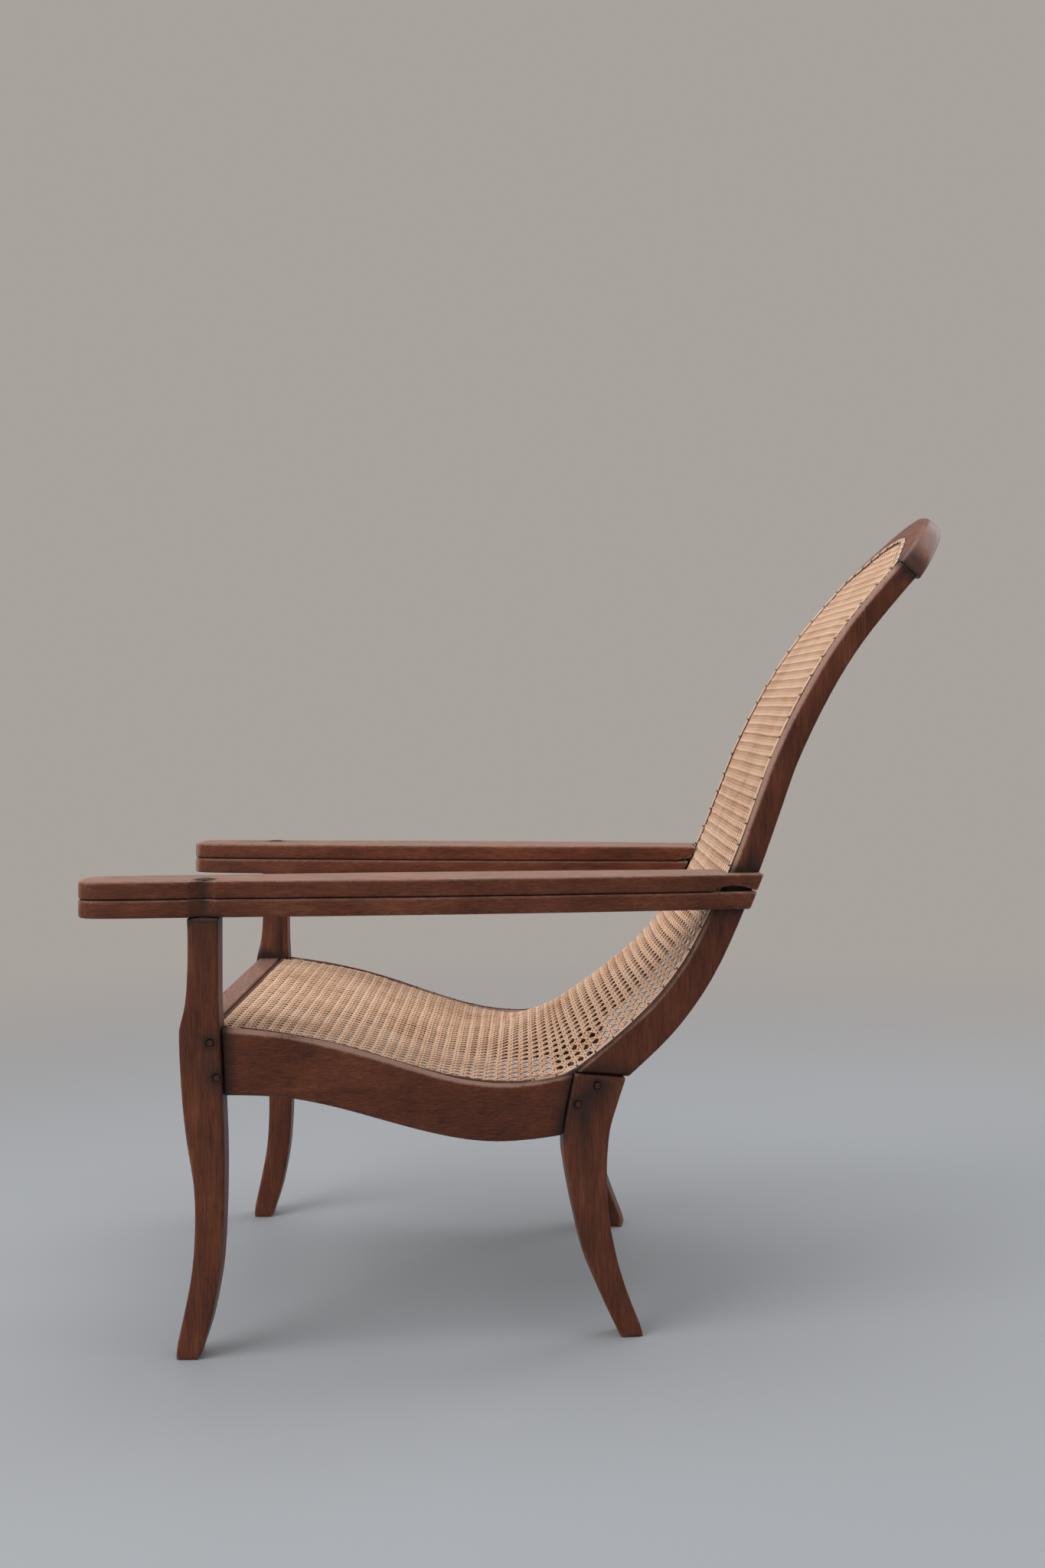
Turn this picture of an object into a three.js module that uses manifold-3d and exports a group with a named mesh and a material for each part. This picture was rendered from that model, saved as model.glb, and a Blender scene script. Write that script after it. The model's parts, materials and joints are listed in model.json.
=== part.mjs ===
// A planters chair: two side frames that close in towards the back, a woven cane sling
// from the front rail to the arched crest, long flat arms, and a leg rest under each arm
// that swings out about the front leg's round tenon.
// Millimetres, +Z up. The chair faces -Y, its back leans towards +Y, its left side is +X.
// While it is drawn, X is 0 at the middle, Y is 0 at the leg rests' pivots, Z is 0 on the floor.

import * as THREE from 'three';
import { mergeGeometries, mergeVertices } from 'three/addons/utils/BufferGeometryUtils.js';
import Module from 'manifold-3d';

const wasm = await Module();
wasm.setup();

// Overall sizes
const frontWidth = 640;                   // over the outer faces of the front legs
const splay = 7 * Math.PI / 180;          // how far each side frame turns in
const seatHeight = 403;                   // top of the front rail
const seatRun = 434;                      // from the front legs to the rear legs, along a side
const seatDip = 80;                       // the seat's lowest place, below the front rail
const restHeight = 537.5;                 // the leg shoulders that carry the leg rests
const backRun = 428;                      // the back's reach behind the seat, along a side
const backRise = 649;                     // from the seat's back corner to the crest joint
const arrisChamfer = 2;                   // worn edges

// Legs
const legThick = 37;
const legDepth = 50;                      // at the seat
const rearLegDepth = 64;                  // at its top
const pivotRadius = 11;                   // round tenon on the front leg
const pivotProud = 1.2;                   // its end above the arm

// Side rails and stiles
const frameInset = 7.5;                   // their outer faces behind those of the legs
const frameThick = 29.5;
const railDepth = 76;
const stileDepth = 42;                    // at its foot
const rimChamfer = 5;                     // worn outer edge beside the cane
const rimWidth = 6;                       // flat left between that edge and the groove
const grooveWidth = 3.5;
const grooveDepth = 5.5;
const ledgeDepth = 3;                     // the seat for the cane, below the rim

// Cross pieces
const frontRailFront = 24;                // the front rail's face, in front of the pivots
const frontRailBack = 31;
const frontRailDepth = 42;
const caneFront = 11;                     // the cane's front edge, behind the pivots
const crossRailThick = 26;
const crossRailDepth = 46;
const crossRailDrop = 42;                 // its top, below the seat's back corner
const crossRailSetback = 5;               // behind the rear leg's front corner
const frontTenonLength = 17;

// Crest
const crestRise = 107;                    // outer arch above the crest joint
const archRise = 65;                      // the cane's arch above that joint
const crestEndThick = 35;
const crestMiddleThick = 33;
const crestRound = 11;

// Arms and leg rests
const boardThick = 22.4;
const boardWidth = 84;                    // at the pivot
const frontReach = 152;                   // in front of the pivot, on the left
const rightFrontReach = 117;              // and on the right, where the boards are shorter
const rearReach = 697;                    // behind it
const rearRake = 9;                       // the slope of a board's rear end over its thickness
const coveLength = 32;                    // hollow in the outer edge beside the leg
const coveDepth = 7;
const coveForward = 3;
const scoopLength = 62;                   // hollow under the arm's rear end
const scoopDepth = 7;

// Cane
const caneThick = 2.4;
const canePitch = 52;                     // from one opening of the net to the next
const caneOpening = 34;                   // across an opening's flats
const caneMargin = 9;                     // least whole cane beside an opening
const binderWidth = 7;
const binderThick = 2;
const binderSetback = 0.5;
const slingLift = 46;                     // the taut cane's rise off its edges' line, at most
const liftSetback = 2;                    // flat cane left inside the binder
const liftColumns = 4;                    // of the cane's grid, in half its width

// Joints
const clearance = 0.3;                    // between neighbouring pieces
const pivotPlay = 0.5;                    // round the pivot tenon, in the leg rest
const restPlay = 1.2;                     // between a leg rest and the stile beside it
const restShoulder = 4.6;                 // between a leg rest's inner end and the frame's rim
const caneClear = 1.6;                    // between the cane's binder and an arm's inner end
const tenonThick = 12;
const tenonLength = 24;
const shortTenon = 10;
const tenonShoulder = 8;                  // left above and below a rail's tenon
const crestTenonLength = 14;
const pegRadius = 4;
const pegLength = 26;
const frontPegLength = 22;
const armPegLength = 42;
const pegProud = 0.4;
const overrun = 60;                       // how far a cutting shape passes what it cuts

// Outlines, as shares of the sizes above
// front leg below the seat: height of seatHeight, front and back edge of legDepth
const frontLegLowShares = [
  [0, -0.63, -0.085], [0.04, -0.615, 0.015], [0.11, -0.49, 0.2], [0.2, -0.34, 0.35],
  [0.29, -0.23, 0.46], [0.41, -0.18, 0.515], [0.53, -0.215, 0.54], [0.64, -0.37, 0.54],
  [0.79, -0.505, 0.495], [0.965, -0.577, 0.43],
];
// above the seat: height of the stretch from there to the leg rest
const frontLegHighShares = [
  [0.02, -0.55, 0.42], [0.15, -0.46, 0.4], [0.31, -0.4, 0.385], [0.55, -0.37, 0.383],
  [0.8, -0.366, 0.383], [1, -0.38, 0.383],
];
// rear leg: height of the seat's back corner, offset behind that corner of rearLegDepth
const rearLegFrontShares = [
  [0, 0.93], [0.081, 0.725], [0.141, 0.585], [0.228, 0.385], [0.317, 0.2], [0.434, 0.05],
  [0.548, -0.08], [0.665, -0.185], [0.77, -0.225], [1, 0.01],
];
const rearLegBackShares = [
  [0.979, 1.03], [0.916, 0.92], [0.831, 0.775], [0.772, 0.7], [0.674, 0.655],
  [0.572, 0.65], [0.457, 0.69], [0.368, 0.77], [0.253, 0.91], [0.135, 1.12],
  [0.047, 1.31], [0, 1.375],
];
// seat: run of seatRun, drop of seatDip, rail depth of railDepth
const seatShares = [
  [0, 0.015, 1.09], [0.1, 0.08, 1.045], [0.2, 0.172, 1.015], [0.313, 0.313, 1.02],
  [0.4, 0.456, 1.02], [0.487, 0.61, 1.015], [0.574, 0.765, 1], [0.662, 0.9, 0.98],
  [0.75, 0.975, 0.975], [0.839, 1, 0.955], [0.928, 0.953, 0.965], [1, 0.8625, 1],
];
// back: run of backRun, rise of backRise, stile depth of stileDepth
const backShares = [
  [0, 0, 1.17], [0.057, 0.03, 1.19], [0.148, 0.079, 1.16], [0.24, 0.132, 1.09],
  [0.333, 0.209, 1.01], [0.406, 0.298, 0.95], [0.474, 0.39, 0.86], [0.522, 0.468, 0.82],
  [0.572, 0.557, 0.8], [0.613, 0.626, 0.78], [0.707, 0.746, 0.74], [0.802, 0.845, 0.72],
  [0.896, 0.922, 0.7], [1, 1, 0.7],
];
// arches of the crest: half width, rise
const outerArchShares = [
  [1, 0], [0.945, 0.15], [0.855, 0.325], [0.7, 0.53], [0.5, 0.755], [0.26, 0.93], [0, 1],
];
const caneArchShares = [
  [1, 0], [0.94, 0.03], [0.88, 0.11], [0.75, 0.32], [0.52, 0.63], [0.275, 0.89], [0, 1],
];
// arms and leg rests, in plan: offset of boardWidth; length of frontReach, then of rearReach
const boardFrontShares = [
  [-0.75, 0], [-0.75, 0.4], [-0.72, 0.7], [-0.66, 0.88], [-0.56, 0.97], [-0.44, 1],
  [-0.1, 1], [0.06, 0.975], [0.15, 0.91], [0.2, 0.78], [0.235, 0.5], [0.24, 0.2],
];
const boardOuterShares = [
  [0.245, 0.02], [0.28, 0.09], [0.36, 0.25], [0.42, 0.45], [0.435, 0.62], [0.42, 0.75],
  [0.395, 0.87], [0.365, 0.94], [0.345, 1.04],
];
const boardInnerShares = [
  [-0.5, 1.04], [-0.5, 0.87], [-0.57, 0.75], [-0.64, 0.6], [-0.7, 0.4], [-0.735, 0.2],
];
// the cane's rise: length of the sling, rise of slingLift
const liftShares = [
  [0.2, 0], [0.235, 0.05], [0.267, 0.2], [0.307, 0.62], [0.34, 0.92], [0.372, 1],
  [0.405, 0.93], [0.437, 0.87], [0.469, 0.81], [0.502, 0.7], [0.534, 0.54], [0.566, 0.36],
  [0.6, 0.21], [0.63, 0.11], [0.663, 0.04], [0.696, 0],
];
// pegs: drop of railDepth below the frame's line, offset of legDepth or rearLegDepth
const frontPegShares = [[0.23, 0.19], [0.79, 0.35]];
const rearPegShares = [[0.205, 0.453], [0.5, 0.07]];
const railPegShare = 0.276;               // height of the front rail's peg, drop of railDepth
const sectionSteps = 12;                  // stretches in half an arch
const roundSides = 24;
const pegSides = 10;

const wood = new THREE.MeshStandardMaterial({ color: 0x5d3024, roughness: 0.55 });
const armWood = new THREE.MeshStandardMaterial({ color: 0x6b4034, roughness: 0.6 });
const pegWood = new THREE.MeshStandardMaterial({ color: 0x3f2019, roughness: 0.7 });
const cane = new THREE.MeshStandardMaterial({ color: 0xc9a27c, roughness: 0.8 });
const binderCane = new THREE.MeshStandardMaterial({ color: 0xd8bb98, roughness: 0.7 });

// Places worked out from the sizes. In a side frame's own axes x runs outwards from the
// middle of the legs, y runs back along the frame, and z runs up.
const pivotX = (frontWidth - legThick) / 2;
const halfLeg = legThick / 2;
const frameOuter = halfLeg - frameInset;
const frameInner = frameOuter - frameThick;
const grooveOuter = frameOuter - rimChamfer - rimWidth;
const ledgeOuter = grooveOuter - grooveWidth;
const seatStart = legDepth * frontLegLowShares.at(-1)[2];
const seatEnd = seatStart + seatRun;
const cornerHeight = seatHeight - seatDip * seatShares.at(-1)[1];
const restTop = restHeight + clearance + boardThick;
const armBottom = restTop + clearance;
const armTop = armBottom + boardThick;

// Solids and geometry

// only positions, with each shared corner held once
function welded(geometry) {
  const plain = new THREE.BufferGeometry();
  plain.setAttribute('position', geometry.getAttribute('position').clone());
  if (geometry.index) plain.setIndex(geometry.index.clone());
  return mergeVertices(plain, clearance / 1000);
}

function toSolid(geometry) {
  const merged = welded(geometry);
  const mesh = new wasm.Mesh({
    numProp: 3,
    vertProperties: new Float32Array(merged.attributes.position.array),
    triVerts: new Uint32Array(merged.index.array),
  });
  return new wasm.Manifold(mesh);
}

function toGeometry(solid) {
  const mesh = solid.getMesh();
  const geometry = new THREE.BufferGeometry();
  geometry.setAttribute('position', new THREE.BufferAttribute(mesh.vertProperties, 3));
  geometry.setIndex(new THREE.BufferAttribute(mesh.triVerts, 1));
  return geometry;
}

function combine(base, joined, removed) {
  let solid = toSolid(base);
  for (const part of joined) solid = solid.add(toSolid(part));
  for (const part of removed) solid = solid.subtract(toSolid(part));
  return toGeometry(solid);
}

const join = (base, ...parts) => combine(base, parts, []);
const cut = (base, ...parts) => combine(base, [], parts);

function common(base, part) {
  return toGeometry(toSolid(base).intersect(toSolid(part)));
}

function polygon(points) {
  return new THREE.Shape(points.map(([x, y]) => new THREE.Vector2(x, y)));
}

// a smooth line through points, some steps between each two
function smooth(points, steps = 2) {
  const line = new THREE.SplineCurve(points.map(([x, y]) => new THREE.Vector2(x, y)));
  return line.getPoints((points.length - 1) * steps).map((p) => [p.x, p.y]);
}

// drawn in plan, from one height to another
function planSlab(points, low, high, chamfer = 0) {
  const geometry = new THREE.ExtrudeGeometry(polygon(points), {
    depth: high - low - 2 * chamfer,
    bevelEnabled: chamfer > 0,
    bevelThickness: chamfer,
    bevelSize: chamfer,
    bevelOffset: -chamfer,
    bevelSegments: 1,
  });
  return geometry.translate(0, 0, low + chamfer);
}

// drawn from the side as [y, z], from one x to another
function sideSlab(points, low, high, chamfer = 0) {
  const turned = new THREE.Matrix4().makeBasis(
    new THREE.Vector3(0, 1, 0), new THREE.Vector3(0, 0, 1), new THREE.Vector3(1, 0, 0));
  return planSlab(points, low, high, chamfer).applyMatrix4(turned);
}

function box(x0, x1, y0, y1, z0, z1) {
  return planSlab([[x0, y0], [x1, y0], [x1, y1], [x0, y1]], z0, z1);
}

// a round bar along z; rodX and rodY lie along those axes instead
function rod(radius, low, high, sides = roundSides) {
  const geometry = new THREE.CylinderGeometry(radius, radius, high - low, sides);
  return geometry.rotateX(Math.PI / 2).translate(0, 0, (low + high) / 2);
}

function rodX(radius, low, high, y, z) {
  return rod(radius, low, high, pegSides).rotateY(Math.PI / 2).translate(0, y, z);
}

function rodY(radius, low, high, x, z) {
  return rod(radius, -high, -low, pegSides).rotateX(Math.PI / 2).translate(x, 0, z);
}

// every corner moved out by a distance, for a closed line that runs anticlockwise
function offset(points, distance) {
  const line = THREE.ShapeUtils.isClockWise(points.map(([x, y]) => ({ x, y })))
    ? [...points].reverse() : points;
  return line.map(([x, y], i) => {
    const [px, py] = line[(i + line.length - 1) % line.length];
    const [nx, ny] = line[(i + 1) % line.length];
    const a = new THREE.Vector2(y - py, px - x).normalize();
    const b = new THREE.Vector2(ny - y, x - nx).normalize();
    const mid = a.clone().add(b).normalize();
    const reach = distance / Math.max(mid.dot(a), 1 / 2);
    return [x + mid.x * reach, y + mid.y * reach];
  });
}

// the part of a closed line that lies above the straight line from p to q
function keepAbove(points, [px, py], [qx, qy]) {
  const side = ([x, y]) => (qx - px) * (y - py) - (qy - py) * (x - px);
  const kept = [];
  points.forEach((point, i) => {
    const next = points[(i + 1) % points.length];
    const here = side(point);
    const there = side(next);
    if (here >= 0) kept.push(point);
    if (here * there < 0) {
      const t = here / (here - there);
      kept.push([point[0] + (next[0] - point[0]) * t, point[1] + (next[1] - point[1]) * t]);
    }
  });
  return kept;
}

// sections with as many corners each, joined into one closed body
function loft(sections) {
  const count = sections[0].length;
  const position = sections.flat().flatMap((p) => [p.x, p.y, p.z]);
  const index = [];
  for (let s = 0; s + 1 < sections.length; s += 1) {
    for (let i = 0; i < count; i += 1) {
      const a = s * count + i;
      const b = s * count + (i + 1) % count;
      index.push(a, b + count, b, a, a + count, b + count);
    }
  }
  const last = (sections.length - 1) * count;
  for (let i = 1; i + 1 < count; i += 1) {
    index.push(0, i, i + 1, last, last + i + 1, last + i);
  }
  const geometry = new THREE.BufferGeometry();
  geometry.setAttribute('position', new THREE.Float32BufferAttribute(position, 3));
  geometry.setIndex(index);
  return geometry;
}

// Side frame axes against the chair's own, and against the front leg's, which stands square
const sideToChair = new THREE.Matrix4().makeRotationZ(splay).setPosition(pivotX, 0, 0);
const chairToSide = sideToChair.clone().invert();
const inSide = (geometry) => geometry.clone().applyMatrix4(chairToSide);
const inChair = (geometry) => geometry.clone().applyMatrix4(sideToChair);
const onLeg = (geometry) => geometry.clone().rotateZ(splay);
const offLeg = (geometry) => geometry.clone().rotateZ(-splay);

function mirrored(geometry) {
  const copy = welded(geometry).scale(-1, 1, 1);
  const { array } = copy.index;
  for (let i = 0; i < array.length; i += 3) {
    [array[i], array[i + 1]] = [array[i + 1], array[i]];
  }
  return copy;
}

const bothSides = (geometry) => [geometry, mirrored(geometry)];

// half the chair's width at a place along it, at x in the side frame
const halfWidthAt = (x, y) => pivotX + (x - y * Math.sin(splay)) / Math.cos(splay);

// The sling's line along a side frame, as [y, z]: the seat, then the back
const seatLine = smooth(seatShares.map(([run, drop]) =>
  [seatStart + run * seatRun, seatHeight - drop * seatDip]));
const backCorner = seatLine.at(-1);
const backLine = smooth(backShares.map(([run, rise]) =>
  [backCorner[0] + run * backRun, backCorner[1] + rise * backRise]));
const frameLine = [...seatLine, ...backLine.slice(1)];

// a line moved square to itself, towards the sitter where the distance is positive
function beside(points, distance) {
  return points.map(([x, y], i) => {
    const [px, py] = points[Math.max(i - 1, 0)];
    const [nx, ny] = points[Math.min(i + 1, points.length - 1)];
    const before = new THREE.Vector2(x - px, y - py).normalize();
    const after = new THREE.Vector2(nx - x, ny - y).normalize();
    const mid = before.clone().add(after).normalize();
    const reach = distance / mid.dot(i ? before : after);
    return [x - mid.y * reach, y + mid.x * reach];
  });
}

// the line carried straight on past both its ends
function runOn(points, distance) {
  const past = ([ax, ay], [bx, by]) => {
    const way = new THREE.Vector2(bx - ax, by - ay).setLength(distance);
    return [bx + way.x, by + way.y];
  };
  return [past(points[1], points[0]), ...points, past(points.at(-2), points.at(-1))];
}

// the space on the sitter's side of a line, from one x to another
function sitterSide(points, low, high) {
  const top = points.at(-1)[1] + overrun;
  return sideSlab([...points, [points.at(-1)[0], top], [points[0][0], top]], low, high);
}

// the space behind a line that rises towards the back
function behindSpace(points, low, high) {
  return sideSlab([...points, [points.at(-1)[0], points[0][1]]], low, high);
}

// a section as [y, z] with its four corners taken off
function barSection(y0, y1, z0, z1, chamfer) {
  return [
    [y0 + chamfer, z0], [y1 - chamfer, z0], [y1, z0 + chamfer], [y1, z1 - chamfer],
    [y1 - chamfer, z1], [y0 + chamfer, z1], [y0, z1 - chamfer], [y0, z0 + chamfer],
  ];
}

// The crest's face, as x to the right, up along the back, and depth behind the face
const backEnd = backLine.at(-1);
const crestBase = [backEnd[0] * Math.cos(splay), backEnd[1]];
const crestUp = new THREE.Vector3(
  0, (backEnd[0] - backLine.at(-2)[0]) * Math.cos(splay), backEnd[1] - backLine.at(-2)[1],
).normalize();
const crestRight = new THREE.Vector3(-1, 0, 0);
const onCrest = new THREE.Matrix4()
  .makeBasis(crestRight, crestUp, crestRight.clone().cross(crestUp))
  .setPosition(0, ...crestBase);

function crestSlab(points, front, back) {
  return planSlab(points, front, back).applyMatrix4(onCrest);
}

function arch(shares, halfWidth, rise) {
  const line = new THREE.SplineCurve(
    shares.map(([x, up]) => new THREE.Vector2(x * halfWidth, up * rise)));
  const half = line.getSpacedPoints(sectionSteps).map((p) => [p.x, p.y]);
  return [...half, ...half.slice(0, -1).reverse().map(([x, up]) => [-x, up])];
}

const ledgeWidth = ledgeOuter - frameInner;
const ledgeArchHalf = halfWidthAt(ledgeOuter, crestBase[0]);
const caneArch = (inset) => arch(caneArchShares, ledgeArchHalf - inset, archRise - inset);

// The cane's line from the front rail to the crest joint, as [y, z], and its net's rows
const slingLine = [
  [caneFront, seatHeight],
  ...frameLine.slice(1).map(([y, z]) => [y * Math.cos(splay), z]),
];
const slingLengths = slingLine.map((point, i) => (i
  ? Math.hypot(point[0] - slingLine[i - 1][0], point[1] - slingLine[i - 1][1]) : 0));
const slingLength = slingLengths.reduce((sum, length) => sum + length);
const netStart = frontRailBack - caneFront;
const netRows = Math.round((slingLength - netStart) / canePitch);
const rowPitch = (slingLength - netStart) / netRows;

function slingAt(distance) {
  let left = distance;
  let i = 1;
  while (i + 1 < slingLine.length && left > slingLengths[i]) {
    left -= slingLengths[i];
    i += 1;
  }
  const share = left / slingLengths[i];
  return slingLine[i - 1].map((value, axis) => value + (slingLine[i][axis] - value) * share);
}

const slopeOf = ([ay, az], [by, bz]) => Math.atan2(bz - az, by - ay);

// one station where each row starts, and one more inside a row that turns sharply
const distances = [0];
for (let row = 0; row < netRows; row += 1) {
  const parts = [0, 1 / 2, 1].map((part) => netStart + (row + part) * rowPitch);
  const [start, middle, end] = parts.map(slingAt);
  distances.push(parts[0]);
  if (slopeOf(middle, end) - slopeOf(start, middle) > Math.PI / 24) distances.push(parts[1]);
}
distances.push(slingLength);
const stations = distances.map(slingAt);
const crestTop = new THREE.Vector3(0, crestRise, 0).applyMatrix4(onCrest);
const slingStations = [...stations, [crestTop.y, crestTop.z]];

// a strip of the sling between two distances above it; outer and inner give x at each y
function slingStrip(points, inner, outer, low, high) {
  const lowLine = beside(points, low);
  const highLine = beside(points, high);
  return loft(points.map(([y], i) => [
    new THREE.Vector3(inner(y), ...lowLine[i]), new THREE.Vector3(outer(y), ...lowLine[i]),
    new THREE.Vector3(outer(y), ...highLine[i]), new THREE.Vector3(inner(y), ...highLine[i]),
  ]));
}

const caneLow = clearance - ledgeDepth;
const caneHigh = caneLow + caneThick;
const binderLow = caneHigh + clearance;
const binderHigh = binderLow + binderThick;
const slingHalf = (x) => (y) => halfWidthAt(x, Math.min(y, crestBase[0]));
const binderOuter = ledgeOuter - binderSetback;
const binderInner = binderOuter - binderWidth;

// the rise of the cane's middle at a distance along the sling
function liftAt(distance) {
  const share = distance / slingLength;
  const next = liftShares.findIndex(([along]) => along > share);
  if (next <= 0) return 0;
  const [[from, low], [to, high]] = liftShares.slice(next - 1, next + 1);
  return slingLift * (low + (high - low) * (share - from) / (to - from));
}

// Outlines of the frame pieces, from the side as [y, z]

const frontLegOutline = (() => {
  const edge = (column) => smooth([
    ...frontLegLowShares.map((row) => [row[column] * legDepth, row[0] * seatHeight]),
    ...frontLegHighShares.map((row) => [
      row[column] * legDepth, seatHeight + row[0] * (restHeight - seatHeight)]),
  ]);
  return [...edge(2), ...edge(1).reverse()];
})();

const rearLegOutline = (() => {
  const edge = (shares) => smooth(shares.map(([height, back]) =>
    [seatEnd + back * rearLegDepth, height * cornerHeight]));
  return [...edge(rearLegFrontShares), ...edge(rearLegBackShares)].reverse();
})();

const rearLegTop = [
  [seatEnd + rearLegFrontShares.at(-1)[1] * rearLegDepth, cornerHeight],
  [seatEnd + rearLegBackShares[0][1] * rearLegDepth, rearLegBackShares[0][0] * cornerHeight],
];

const railOutline = (() => {
  const under = smooth(seatShares.map(([run, drop, depth]) =>
    [seatStart + run * seatRun, seatHeight - drop * seatDip - depth * railDepth]));
  const inLeg = (line) => runOn(line, tenonThick).slice(0, -1);
  return [...inLeg(under), ...inLeg(seatLine).reverse()];
})();

const stileOutline = (() => {
  const depths = smooth(backShares.map(([run, , depth]) => [run, depth * stileDepth]));
  const behind = backLine.map((point, i) => beside(backLine, -depths[i][1])[i]);
  const whole = [...runOn(behind, tenonThick), ...runOn(backLine, tenonThick).reverse()];
  return keepAbove(whole, ...rearLegTop.map(([y, z]) => [y, z + clearance]));
})();

// Cutting shapes that neighbours share, in a side frame's axes
const slingSpace = sitterSide(
  runOn(beside(slingStations, -ledgeDepth), overrun), -frontWidth, frontWidth);
const ledgeCut = common(inSide(slingSpace), sideSlab([
  [0, 0], [seatEnd + backRun * 2, 0], [seatEnd + backRun * 2, seatHeight + backRise * 2],
  [0, seatHeight + backRise * 2],
], -frontWidth, ledgeOuter));
const grooveCut = sitterSide(
  runOn(beside(frameLine, -grooveDepth), overrun), ledgeOuter - clearance, grooveOuter);
const rimCut = (() => {
  const line = runOn(frameLine, tenonLength);
  const low = beside(line, -rimChamfer - clearance);
  const high = beside(line, clearance);
  return loft(line.map((point, i) => [
    new THREE.Vector3(frameOuter + clearance, ...low[i]),
    new THREE.Vector3(frameOuter + clearance, ...high[i]),
    new THREE.Vector3(frameOuter - rimChamfer - clearance, ...high[i]),
  ]));
})();
const frontLegSpace = offLeg(sideSlab(offset(frontLegOutline, clearance), -overrun, overrun));
const rearLegSpace = sideSlab(offset(rearLegOutline, clearance), -overrun, overrun);
const innerLimit = (x) => inChair(box(
  x, frontWidth, -overrun, seatEnd + overrun * 2, 0, seatHeight + overrun));

// Tenons, each as a function of the room left round it, in a side frame's axes
const tenonHalf = tenonThick / 2;

function railTenon(y0, y1, line) {
  return (room) => box(
    -tenonHalf - room, tenonHalf + room, y0 - room, y1 + room,
    line - railDepth + tenonShoulder - room, line - tenonShoulder + room);
}

const railFrontTenon = railTenon(seatStart - tenonLength, seatStart + tenonThick, seatHeight);
const railRearTenon = railTenon(seatEnd - tenonLength, seatEnd + tenonThick, cornerHeight);
const stileTenon = (room) => box(
  -tenonHalf - room, tenonHalf + room,
  seatEnd + rearLegDepth / 2 - tenonThick * 2 / 3 - room,
  seatEnd + rearLegDepth / 2 + tenonThick * 2 / 3 + room,
  cornerHeight - tenonLength - tenonThick - room, cornerHeight + tenonThick / 2 + room);

// the stile's upper tenon, on the crest's face as [x, up]
const crestTenonInner = halfWidthAt(frameInner, crestBase[0]) + arrisChamfer;
const crestDepth = stileDepth * backShares.at(-1)[2];
const crestTenon = (room) => crestSlab([
  [-crestTenonInner + room, -tenonLength],
  [-crestTenonInner - tenonThick - room, -tenonLength],
  [-crestTenonInner - tenonThick - room, crestTenonLength + room],
  [-crestTenonInner + room, crestTenonLength + room],
], (crestDepth - tenonThick) / 2 - room, (crestDepth + tenonThick) / 2 + room);

// cross rails: sections as [y, z] in the chair's axes
const frontRailBottom = seatHeight - frontRailDepth;
const frontTenonSection = (room) => barSection(
  -frontRailFront + frontRailDepth / 7 - room,
  -frontRailFront + frontRailDepth / 7 + tenonThick + room,
  frontRailBottom + frontRailDepth / 7 - room, seatHeight - frontRailDepth / 7 + room, 0);
const frontTenonEnd = pivotX - halfLeg + frontTenonLength;
const crossFront = (seatEnd + crossRailSetback) * Math.cos(splay);
const crossTop = cornerHeight - crossRailDrop;
const crossTenonSection = (room) => barSection(
  crossFront + crossRailThick / 4 - room, crossFront + crossRailThick * 3 / 4 + room,
  crossTop - crossRailDepth * 5 / 6 - room, crossTop - crossRailDepth / 6 + room, 0);
const crossTenonEnd = -halfLeg + shortTenon;

// Pegs, each as a function of the room left round it
const sidePeg = (y, z) => (room) => rodX(
  pegRadius + room, halfLeg - pegLength - room, halfLeg + pegProud + room * 2, y, z);
// in the front leg's square axes
const frontPegs = frontPegShares.map(([drop, back]) =>
  sidePeg(back * legDepth, seatHeight - drop * railDepth));
const legFront = frontLegLowShares.at(-1)[1] * legDepth;
const railPeg = (room) => rodY(
  pegRadius + room, legFront - pegProud - room * 2, legFront + frontPegLength + room,
  -halfLeg + frontTenonLength / 2, seatHeight - railPegShare * railDepth);
// in a side frame's axes
const rearPegs = rearPegShares.map(([drop, back]) =>
  sidePeg(seatEnd + back * rearLegDepth, cornerHeight - drop * railDepth));
const armPegHeight = armTop - boardThick * 3 / 7;
const armPegPoint = backLine.find(([, z]) => z > armPegHeight);
const armPeg = (room) => rodX(
  pegRadius + room, frameInner - pegProud - room * 2, frameInner + armPegLength + room,
  armPegPoint[0] + stileDepth * 3 / 8, armPegHeight);
// in the chair's axes
const crestPeg = (room) => rod(
  pegRadius + room, crestEndThick - frontPegLength - room,
  crestEndThick + pegProud + room * 2, pegSides,
).translate(-crestTenonInner - tenonHalf, crestTenonLength / 2, 0).applyMatrix4(onCrest);

// Pieces of the left side; the front leg in its own square axes, the rest in the frame's

function frontLeg() {
  const body = sideSlab(frontLegOutline, -halfLeg, halfLeg, arrisChamfer);
  const tenon = rod(pivotRadius, restHeight - arrisChamfer, armTop + pivotProud);
  const railMortise = sideSlab(
    frontTenonSection(clearance), -halfLeg - overrun, -halfLeg + frontTenonLength + clearance);
  return cut(
    join(body, tenon), onLeg(railFrontTenon(clearance)), railMortise, railPeg(clearance),
    ...frontPegs.map((peg) => peg(clearance)));
}

function sideRail() {
  const body = cut(
    sideSlab(railOutline, frameInner, frameOuter, arrisChamfer),
    ledgeCut, grooveCut, rimCut, frontLegSpace, rearLegSpace);
  const pegs = [...frontPegs.map((peg) => offLeg(peg(clearance))), rearPegs[1](clearance)];
  return cut(join(body, railFrontTenon(0), railRearTenon(0)), ...pegs);
}

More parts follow.
